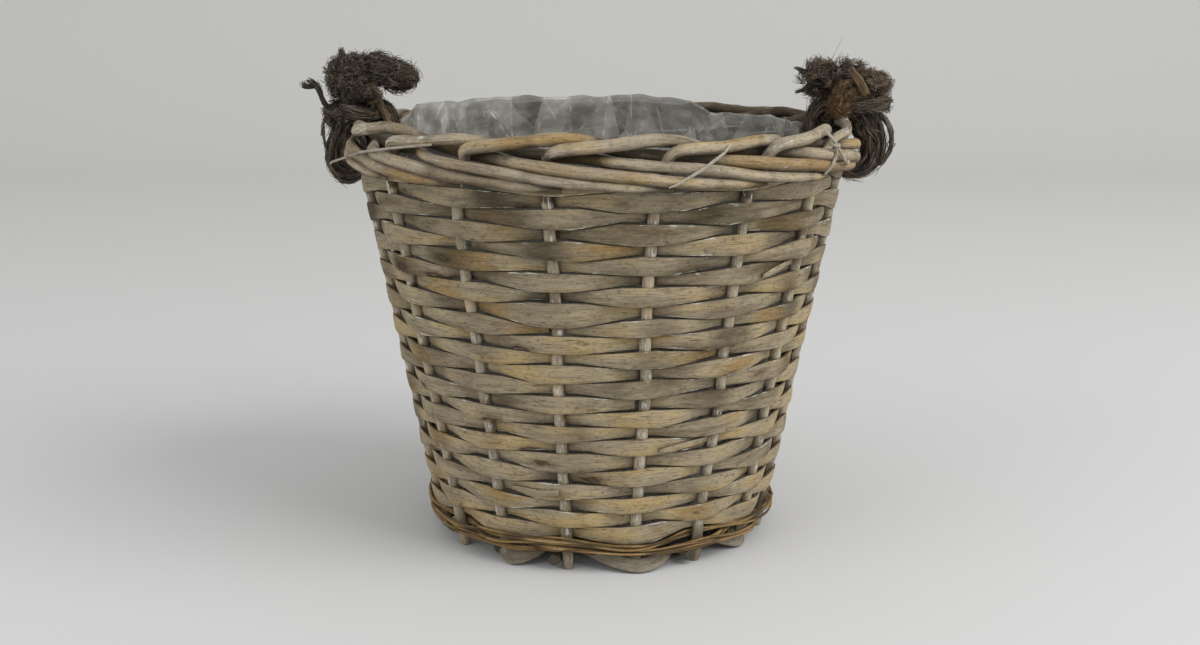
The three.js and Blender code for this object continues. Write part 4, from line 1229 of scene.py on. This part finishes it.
def puff(centre, halves, clumps, each, length, comb=(0, 0, 0), lift=0.4, pinch=0.5, curl=0.9, warm=0.08,
         width=0.36, shade=0.5):
    """Brushed-out fibres all over an ellipsoid. Clumps start at centre + halves x normal and run along the
    surface, lifted off it a little and turned towards the comb. A clump's fibres draw together by the
    pinch."""
    share = np.linspace(0, 1, 5)[:, None]
    normal = unit(rng.normal(size=(clumps, 1, 1, 3)))
    root = np.array(centre, float) + np.array(halves) * normal * rng.uniform(0.78, 1.0, (clumps, 1, 1, 1))
    beside = rng.normal(size=(clumps, 1, 1, 3)) + np.array(comb)
    beside = unit(beside - (beside * normal).sum(-1, keepdims=True) * normal)
    way = unit(beside + lift * rng.uniform(0.3, 2.0, (clumps, each, 1, 1)) * normal)
    way = unit(way + 0.22 * rng.normal(size=(clumps, each, 1, 3)))
    own = rng.normal(size=(clumps, each, 1, 3)) * (0.5 + 0.12 * math.sqrt(each))
    reach = length * rng.uniform(0.55, 1.2, (clumps, 1, 1, 1)) * rng.uniform(0.75, 1.1, (clumps, each, 1, 1))
    wave = sum(
        rng.normal(size=(clumps, each, 1, 3)) * np.sin(share * k + rng.uniform(0, 6.3, (clumps, each, 1, 3)))
        for k in (4.0, 8.0)
    )
    inwards = normal * reach**2 * share**2 / (2.4 * min(halves))
    path = root + own * (1 - pinch * share) + way * reach * share - inwards + curl * 0.5 * share * wave
    tone = shade + rng.normal(0, 0.16, (clumps, 1)) + rng.normal(0, 0.16, (clumps, each))
    warmth = warm + rng.normal(0, 0.14, (clumps, 1)) + rng.normal(0, 0.08, (clumps, each))
    count = clumps * each
    thickness = width * rng.uniform(0.7, 1.25, count)
    return path.reshape(count, 5, 3), thickness, np.clip(tone, 0, 1).ravel(), np.clip(warmth, 0, 1).ravel()


def lock(points, root, tip, count, clumps=10, pinch=0.3, frizz=0.7, warm=0.1, width=0.42, shade=0.5):
    """A lock of fibres round one curve. Each fibre keeps its place in the lock, root + (tip - root) t^0.8
    from the middle, gathers with its clump towards the tip, and wanders more the further out it is."""
    share = np.linspace(0, 1, 7)
    reach = 1 - 0.3 * rng.random((count, 1)) ** 2
    t = share * reach
    middle = through_four(points, t)
    across, third = across_path(middle, BACKWARDS)
    spread = (root + (tip - root) * t**0.8) * np.sqrt(1 - 0.35 * t**3)
    clump = in_disc(clumps)[rng.integers(clumps, size=count)]
    own = in_disc(count) * 1.4 / math.sqrt(clumps)
    place = clump[:, None] * 0.85 + own[:, None] * (1 - pinch * share)[:, None]
    path = middle + spread[..., None] * (place[..., :1] * across + place[..., 1:] * third)
    far = share[:, None]
    wave = sum(
        rng.normal(size=(count, 1, 3)) * np.sin(far * k + rng.uniform(0, 6.3, (count, 1, 3))) / k**0.5
        for k in (3.0, 6.5, 11.0)
    )
    path = path + frizz * far**1.2 * wave
    tone = np.clip(shade + rng.normal(0, 0.22, count), 0, 1)
    warmth = np.clip(rng.normal(warm, 0.18, count), 0, 1)
    return path, width * rng.uniform(0.7, 1.25, count), tone, warmth


def hairs(path, radius, count, out, warm=0.1):
    """Loose fibres that leave a yarn or bundle: they start on it, follow it a little way and stand off"""
    share = np.linspace(0, 1, 6)
    last = len(path) - 1
    begin = rng.uniform(0, last, (count, 1))
    run = rng.uniform(-0.15, 0.15, (count, 1)) * last
    spot = np.clip(begin + run * share, 0, last)
    low = np.floor(spot).astype(int)
    high = np.minimum(low + 1, last)
    middle = path[low] + (path[high] - path[low]) * (spot - low)[..., None]
    direction = unit(rng.normal(size=(count, 1, 3)))
    away = radius + 0.15 + out * rng.random((count, 1)) ** 2 * share**1.6
    wave = rng.normal(size=(count, 1, 3)) * np.sin(share[:, None] * 5 + rng.uniform(0, 6, (count, 1, 1)))
    wave = wave * share[:, None]
    tone = np.clip(rng.normal(0.5, 0.25, count), 0, 1)
    width = rng.uniform(0.28, 0.5, count)
    return middle + direction * away[..., None] + wave * 0.7, width, tone, rng.normal(warm, 0.2, count)


def strays_round(middle, count):
    """Single long fibres: from inside the tuft outwards, bending as a quarter of a sine"""
    share = np.linspace(0, 1, 6)[:, None]
    direction = unit(rng.normal(size=(count, 1, 3)) * [1, 0.8, 0.8] + [0, -0.2, 0.25])
    curl = rng.normal(size=(count, 1, 3))
    reach = rng.uniform(9, 15.5, (count, 1, 1))
    path = np.array(middle) + direction * reach * share + curl * 3.0 * np.sin(share * 1.6) ** 2
    return path, rng.uniform(0.14, 0.26, count), rng.uniform(0.3, 0.9, count), rng.uniform(0, 0.3, count)


def joined(parts):
    """Several sets of fibres as one"""
    return [np.concatenate([part[k] for part in parts]) for k in range(4)]


# %% Yarns and the hearts of the tufts
TWIST_LENGTH = 5.5


def ball(centre, halves):
    """Heart of a tuft: a lumpy ellipsoid, centre + halves x (sin u cos v, sin u sin v, cos u), black as
    painted shade inside the tuft
    """
    u = np.linspace(0.12, math.pi - 0.12, 12)[:, None]
    v = full_turn(20)
    lumps = 0.88 + 0.05 * np.sin(3 * v + 5 * u) + 0.04 * np.sin(7 * v - 4 * u)
    surface = stacked(np.sin(u) * np.cos(v), np.sin(u) * np.sin(v), np.cos(u))
    rings = np.array(centre, float) + lumps[..., None] * surface * np.array(halves) * 0.93
    return skin(rings, rings - centre, tone=0.0, warm=0.0)


def core(points, root, tip, fill=0.42):
    """Dark middle of a lock, painted shade inside it: a tube round its curve, ribbed lengthways and rounded
    at both ends
    """
    t = np.linspace(0, 1, 14)
    turn = full_turn(14)
    radius = fill * (root + (tip - root) * t**0.8) * np.sqrt(np.clip(1 - ((t - 0.45) / 0.57) ** 6, 0.02, 1))
    radius = radius[:, None] * (1 + 0.1 * np.sin(5 * turn + 4 * t[:, None]))
    straight = stacked(t[:, None] * 30, radius * np.cos(turn), radius * np.sin(turn))
    rings = rings_round(through_four(points, t * 0.9), radius, turn, BACKWARDS)
    return skin(rings, straight, tone=0.1, warm=0.0)


def yarn(path, width, start, warm=0.0, tone=0.35):
    """Laid yarn: a tube whose section, 1 + 0.13 cos(3 (t - twist)), turns as it goes"""
    length = lengths_along(path)
    turn = full_turn(10)
    twist = length[:, None] / TWIST_LENGTH
    swell = 1 + 0.1 * np.sin(length / 4.1 + start)
    radius = width / 2 * swell[:, None] * (1 + 0.13 * np.cos(3 * (turn - twist)))
    ends = np.minimum(length, length[-1] - length)
    radius = radius * (0.25 + 0.75 * eased(ends / 1.8))[:, None]
    around = turn - twist
    straight = stacked(length[:, None] + start * 100, radius * np.cos(around), radius * np.sin(around))
    return skin(rings_round(path, radius, turn, BACKWARDS), straight, tone=tone, warm=warm)


# %% [markdown]
# Each ear has its own shape, so each is a set of ellipsoids and curves read off the photograph, in
# millimetres outwards, to the back and upwards from the middle of the loop. The left one is brushed out
# into a curly ball that leans over the rim. The right one has kept its yarns apart, in short spikes.

# %% The ears' paths
EAR_X = 122.793
EAR_Z = 207.098
LOOP_POINTS = 100
LOOP_DEPTH = 5.2


def softened(values, wide=7):
    """Moving average with the ends held"""
    padded = np.concatenate([np.full(wide, values[0]), values, np.full(wide, values[-1])])
    weights = np.hanning(2 * wide + 3)[1:-1]
    return np.convolve(padded, weights / weights.sum(), "valid")


def bundle_path(spot, turns, stops):
    """One yarn of the loop. Round the border its radius is the loop's middle there plus its place in the
    bundle times the bundle's spread, and that place turns slowly as the yarn goes round."""
    degrees = np.linspace(stops[0][0], stops[-1][0], LOOP_POINTS)
    at, middle, spread = np.transpose(stops)
    middle, spread = (softened(np.interp(degrees, at, values)) for values in (middle, spread))
    spin = turns * 2 * math.pi * np.linspace(0, 1, LOOP_POINTS)
    outward = spot[0] * np.cos(spin) - spot[1] * np.sin(spin)
    back = spot[1] * np.cos(spin) + spot[0] * np.sin(spin)
    radius = middle + spread * outward
    angle = np.radians(degrees)
    return np.stack([radius * np.sin(angle), LOOP_DEPTH * back, radius * np.cos(angle)], -1)


def wrap_path(middle, half_out, half_back, tilt, turns, rise):
    """A yarn wound round the neck: an ellipse that climbs as it goes and is tilted"""
    angle = np.linspace(0, 2 * math.pi * turns, int(60 * turns))
    wobble = 1 + 0.06 * np.sin(angle * 1.7 + middle[0])
    out, back = half_out * np.cos(angle) * wobble, half_back * np.sin(angle)
    up = rise * angle / (2 * math.pi) + tilt * out + 0.7 * np.sin(2.3 * angle)
    return np.array(middle, float) + np.stack([out, back, up], -1)


def ear_piece(word, side, kind, skins, replaced):
    """Moves skins from the ear's own frame to its side of the basket: out along X, mirrored on the left"""
    for part in skins:
        part["points"] = part["points"] * [side, 1, 1] + [side * EAR_X, 0, EAR_Z]
    name = f"{word}_ear_{kind}"
    made = piece(name, skins, rope, body=f"{word}_ear", replaced=[replaced], sharp=60)
    print(made.name, "faces:", len(made.data.polygons))


# %% What the photograph shows of each ear
# Radius and spread of each loop's bundle, by degrees from the top outwards
LEFT_LOOP = [(26, 13.5, 4.5), (55, 12.0, 4.8), (75, 10.4, 4.0), (95, 10.4, 4.0), (115, 13.4, 5.4),
             (137, 19.8, 6.4), (155, 24.0, 6.2), (180, 18.6, 2.8), (225, 16.8, 3.2), (270, 15.4, 3.4),
             (310, 15.6, 3.8), (335, 14.5, 4.5)]
RIGHT_LOOP = [(24, 14.0, 5.0), (55, 13.6, 7.6), (90, 13.2, 8.2), (118, 18.4, 7.4), (140, 22.8, 5.2),
              (160, 21.8, 4.2), (180, 18.6, 2.8), (225, 16.8, 3.2), (270, 15.6, 3.4), (310, 15.8, 3.8),
              (330, 14.8, 4.5)]
LEFT_PUFFS = [
    dict(centre=(3.8, 0, 26.0), halves=(13.8, 11.5, 12.4), clumps=560, each=5, length=5.5, curl=1.0,
         warm=0.02, shade=0.55),
    dict(centre=(-18.5, 0, 27.6), halves=(10.0, 8.4, 7.2), clumps=170, each=6, length=9.0,
         comb=(-2.6, 0, -0.3), lift=0.2, curl=0.5),
    dict(centre=(-8.0, 0, 31.0), halves=(11.0, 9.6, 8.0), clumps=130, each=6, length=8.0,
         comb=(-2.2, 0, 0), lift=0.25, curl=0.6),
    dict(centre=(-2.0, -1, 10.5), halves=(10.5, 8.8, 4.8), clumps=100, each=5, length=5.5,
         comb=(-1.6, 0, 0.1), warm=0.14),
    dict(centre=(11.5, 0, 8.5), halves=(6.6, 6.8, 8.0), clumps=110, each=5, length=6.0, comb=(0, 0, -1.6)),
    dict(centre=(4.5, -3, 5.0), halves=(6.0, 6.0, 5.5), clumps=90, each=5, length=5.5, comb=(0, 0, -1.2),
         warm=0.1),
    dict(centre=(-6.0, -10.5, 19.0), halves=(5.6, 3.0, 4.0), clumps=34, each=8, length=4.6,
         comb=(-1.6, 0, 0.6), warm=0.4, shade=0.75, width=0.3),
]
LEFT_LOCKS = [
    dict(points=[(14, 0, 12), (19.3, -1, 13.4), (21.8, -1, 20.4), (27.2, -1, 25)], root=1.3, tip=1.7,
         count=110, warm=0.03, clumps=4, frizz=1.5, shade=0.35),
    dict(points=[(23.5, -1, 22.5), (26.2, -1, 22.2), (28.6, -1, 22.6), (29.6, -1, 24.6)], root=1.1, tip=1.3,
         count=60, warm=0.03, clumps=3, frizz=1.0, shade=0.35),
    dict(points=[(9, 0, 33), (9.4, 0, 36), (9.6, 0, 39), (10, 0, 42)], root=1.6, tip=2.2, count=70,
         warm=0.02, clumps=5, frizz=0.5),
    dict(points=[(-9, -6, 17), (-11, -7, 13), (-13, -7, 9), (-15.5, -6, 4)], root=1.9, tip=2.2, count=110,
         warm=0.45, clumps=6, shade=0.65, frizz=0.8),
]
RIGHT_PUFFS = [
    dict(centre=(-9.5, 3, 25.5), halves=(10.0, 9.0, 9.2), clumps=60, each=15, length=8.0,
         comb=(-0.8, 0, 0.4), lift=0.7, pinch=0.8, warm=0.2, shade=0.6),
    dict(centre=(3.0, 2, 26.0), halves=(10.0, 9.0, 9.0), clumps=56, each=15, length=7.0,
         comb=(0.2, 0, 0.8), lift=0.7, pinch=0.8, warm=0.16, shade=0.6),
    dict(centre=(15.0, 0, 22.0), halves=(9.0, 9.0, 7.2), clumps=110, each=10, length=7.0,
         comb=(0.7, -0.2, 0.4), lift=0.6, pinch=0.6, warm=0.34, shade=0.75),
    dict(centre=(12.0, 0, 12.5), halves=(10.5, 8.6, 5.4), clumps=80, each=5, length=5.0, comb=(-1.2, 0, 0)),
    dict(centre=(-7.0, 1, 10.5), halves=(8.5, 7.5, 9.5), clumps=110, each=5, length=6.5,
         comb=(-0.2, 0, -1.4), warm=0.1),
    dict(centre=(1.5, -9.0, 20.5), halves=(4.6, 3.0, 5.0), clumps=110, each=8, length=7.0,
         comb=(-1.1, -0.3, -1.8), lift=0.5, curl=1.2, warm=0.75, width=0.34),
    dict(centre=(-1.6, -9.0, 14.0), halves=(4.6, 2.8, 5.4), clumps=120, each=8, length=7.0,
         comb=(-0.8, -0.3, -1.8), lift=0.5, curl=1.2, warm=0.85, width=0.32, shade=0.55),
]
RIGHT_LOCKS = [
    dict(points=[(3, -9, 32), (5, -12, 29), (8, -12, 25), (11, -10.5, 19)], root=1.2, tip=2.0, count=240,
         warm=0.7, clumps=4, pinch=0.4, frizz=0.8, width=0.34, shade=0.9),
    dict(points=[(-14, 2, 27), (-18, 2, 29.5), (-21, 2, 31), (-24, 2, 32)], root=2.6, tip=1.2, count=70,
         clumps=3, pinch=0.8),
    dict(points=[(-14, 2, 24), (-18, 2, 21), (-20, 2, 20), (-23.5, 2, 19)], root=2.6, tip=1.2, count=70,
         clumps=3, pinch=0.8),
]
# One yarn hangs loose beside each loop: its curve's four points, the number of points on it, its width
LEFT_STRAND = ([(13, -1, 9), (19.5, -1, 4), (19.5, -1, -5), (16.5, -1, -13)], 50, 1.5)
RIGHT_STRAND = ([(18.5, -1, 9), (24.3, -1, 3), (26.3, -1, -7), (20, -1, -18)], 60, 2.7)
# Yarns wound round each neck: middle, half out, half back, tilt, turns, rise a turn
LEFT_WRAPS = [((-1, -1, 6.4), 10.4, 8.8, 0.06, 2.6, 2.3), ((10.5, 0, 8), 6.6, 7.4, -0.2, 1.6, 2.4)]
RIGHT_WRAPS = [((12.5, -1, 10.5), 11.4, 9.8, 0.03, 2.7, 2.4), ((2, 0, 9.0), 9.0, 8.0, 0.15, 1.5, 2.6)]

# %% Rope ears
SPIRAL_STEP = 2.4
WRAP_WIDTH = 3.0


def ear(word, side, yarns, loop_stops, strand, puffs, locks, wraps):
    """Three pieces: the loop of yarns with its loose strand, the knot's wraps, and the tuft. Each has its
    hairs. The yarns' places in the bundle lie on a spiral, sqrt(k) out and 2.4 radians on."""
    loop, loose = [], []
    for k in range(yarns):
        turn, reach = k * SPIRAL_STEP, math.sqrt((k + 0.5) / yarns)
        spot = reach * math.cos(turn), reach * math.sin(turn)
        path = bundle_path(spot, rng.uniform(0.05, 0.35), loop_stops)
        path = path + np.stack([drift(np.arange(float(LOOP_POINTS)), 0.75, 34) for _ in range(3)], -1)
        width, tone, warm = rng.uniform(1.8, 2.7), rng.uniform(0.0, 0.4), rng.uniform(0, 0.12)
        loop.append(yarn(path, width, start=k + 1.0, tone=tone, warm=warm))
        loose.append(hairs(path, 1.05, 200, 3.6))
    points, count, width = strand
    path = through_four(points, np.linspace(0, 1, count))
    loop.append(yarn(path, width, start=31.0))
    loose.append(hairs(path, width / 2, 40, 2.5))
    loop.append(fibres(*joined(loose)))
    tuft = [ball(row["centre"], row["halves"]) for row in puffs]
    tuft += [core(row["points"], row["root"], row["tip"]) for row in locks]
    tuft.append(fibres(*joined([puff(**row) for row in puffs])))
    tuft.append(fibres(*joined([lock(**row) for row in locks])))
    paths = [wrap_path(*row) for row in wraps]
    knot = [yarn(path, WRAP_WIDTH, start=k + 11.0, tone=0.25) for k, path in enumerate(paths)]
    knot.append(fibres(*joined([hairs(path, 1.35, 900, 3.0) for path in paths])))
    tuft.append(fibres(*strays_round(puffs[0]["centre"], 70)))
    ear_piece(word, side, "loop", loop, f"{word}_rope_loop")
    ear_piece(word, side, "knot", knot, f"{word}_rope_knot")
    ear_piece(word, side, "tuft", tuft, f"{word}_rope_knot")


ear("left", -1, 19, LEFT_LOOP, LEFT_STRAND, LEFT_PUFFS, LEFT_LOCKS, LEFT_WRAPS)
ear("right", 1, 21, RIGHT_LOOP, RIGHT_STRAND, RIGHT_PUFFS, RIGHT_LOCKS, RIGHT_WRAPS)

# %% [markdown]
# Small trim: a raffia tie round the border's rods at the right, a loose end of it across the rods at the
# left, and a pale, thin split strip caught in the border right of the middle. A few points read from the
# photograph give each one's path, which is smoothed and then skinned like the rods and strips.

# %% Ties and the loose strip
BLEACHED = [(0.0, "857c6c"), (0.4, "9d9484"), (0.7, "aea594"), (1.0, "beb6a6")]
raffia = willow("bleached_raffia", BLEACHED, "786f60", chalk=0.05, roughness=0.7)


def trim_path(stops):
    """Points given as degrees from the front, millimetres out from the border's line, and height"""
    degrees, out, height = np.transpose(stops)
    return walked(polar(np.radians(degrees), BORDER_RADIUS + out, height), step=0.9, reach=2.2)


def cord_skin(stops, width, start):
    """A thin round fibre along a trim path"""
    return rod(trim_path(stops), width / 2, sides=8, start=start, tone=0.5, gold=0.0, edge=0.4, dirt=0.0)


def ribbon_skin(stops, width, start):
    """A flat strip along a trim path, lying with its face outwards and narrowed at both ends: half its
    width times 0.35 + 0.65 sqrt(sin(pi s)) at a share s of the way"""
    path = trim_path(stops)
    across, third = across_path(path, path * [1, 1, 0])
    half = width / 2 * (0.35 + 0.65 * np.sin(math.pi * np.linspace(0, 1, len(path))) ** 0.5)
    return flat_strip(path, third, across, half, 0.7, start, tone=0.6, dirt=0.0)


TIE = [
    cord_skin([(56.8, 6.2, 212.5), (57.1, 9.6, 208.0), (57.6, 10.2, 203.0), (56.0, 10.2, 198.0),
               (54.6, 7.5, 193.5)], 1.5, 91000.0),
    cord_skin([(56.4, 5.0, 213.5), (56.7, 9.2, 209.5), (58.2, 10.8, 204.5), (60.4, 11.2, 199.5),
               (62.6, 11.0, 196.8), (64.6, 10.2, 197.4)], 1.7, 92000.0),
    cord_skin([(55.4, 9.0, 207.5), (57.4, 11.5, 206.0), (58.8, 9.8, 206.8)], 1.5, 93000.0),
]
LEFT_END = [cord_skin([(-92.0, 19.5, 188.6), (-84.0, 15.5, 192.4), (-76.0, 10.4, 196.2), (-60.0, 9.9, 203.0),
                       (-48.0, 9.2, 207.0), (-37.0, 6.5, 210.2)], 1.15, 94000.0)]
LOOSE_STRIP = [ribbon_skin([(13.2, 8.6, 193.6), (15.0, 9.4, 195.4), (20.0, 9.9, 201.5), (25.0, 8.8, 208.5),
                            (27.0, 6.0, 211.5)], 1.5, 95000.0)]
trims = [("right_raffia_tie", TIE), ("left_raffia_end", LEFT_END), ("loose_pale_strip", LOOSE_STRIP)]
for name, skins in trims:
    piece(name, skins, raffia)
print("trim pieces:", len(trims))
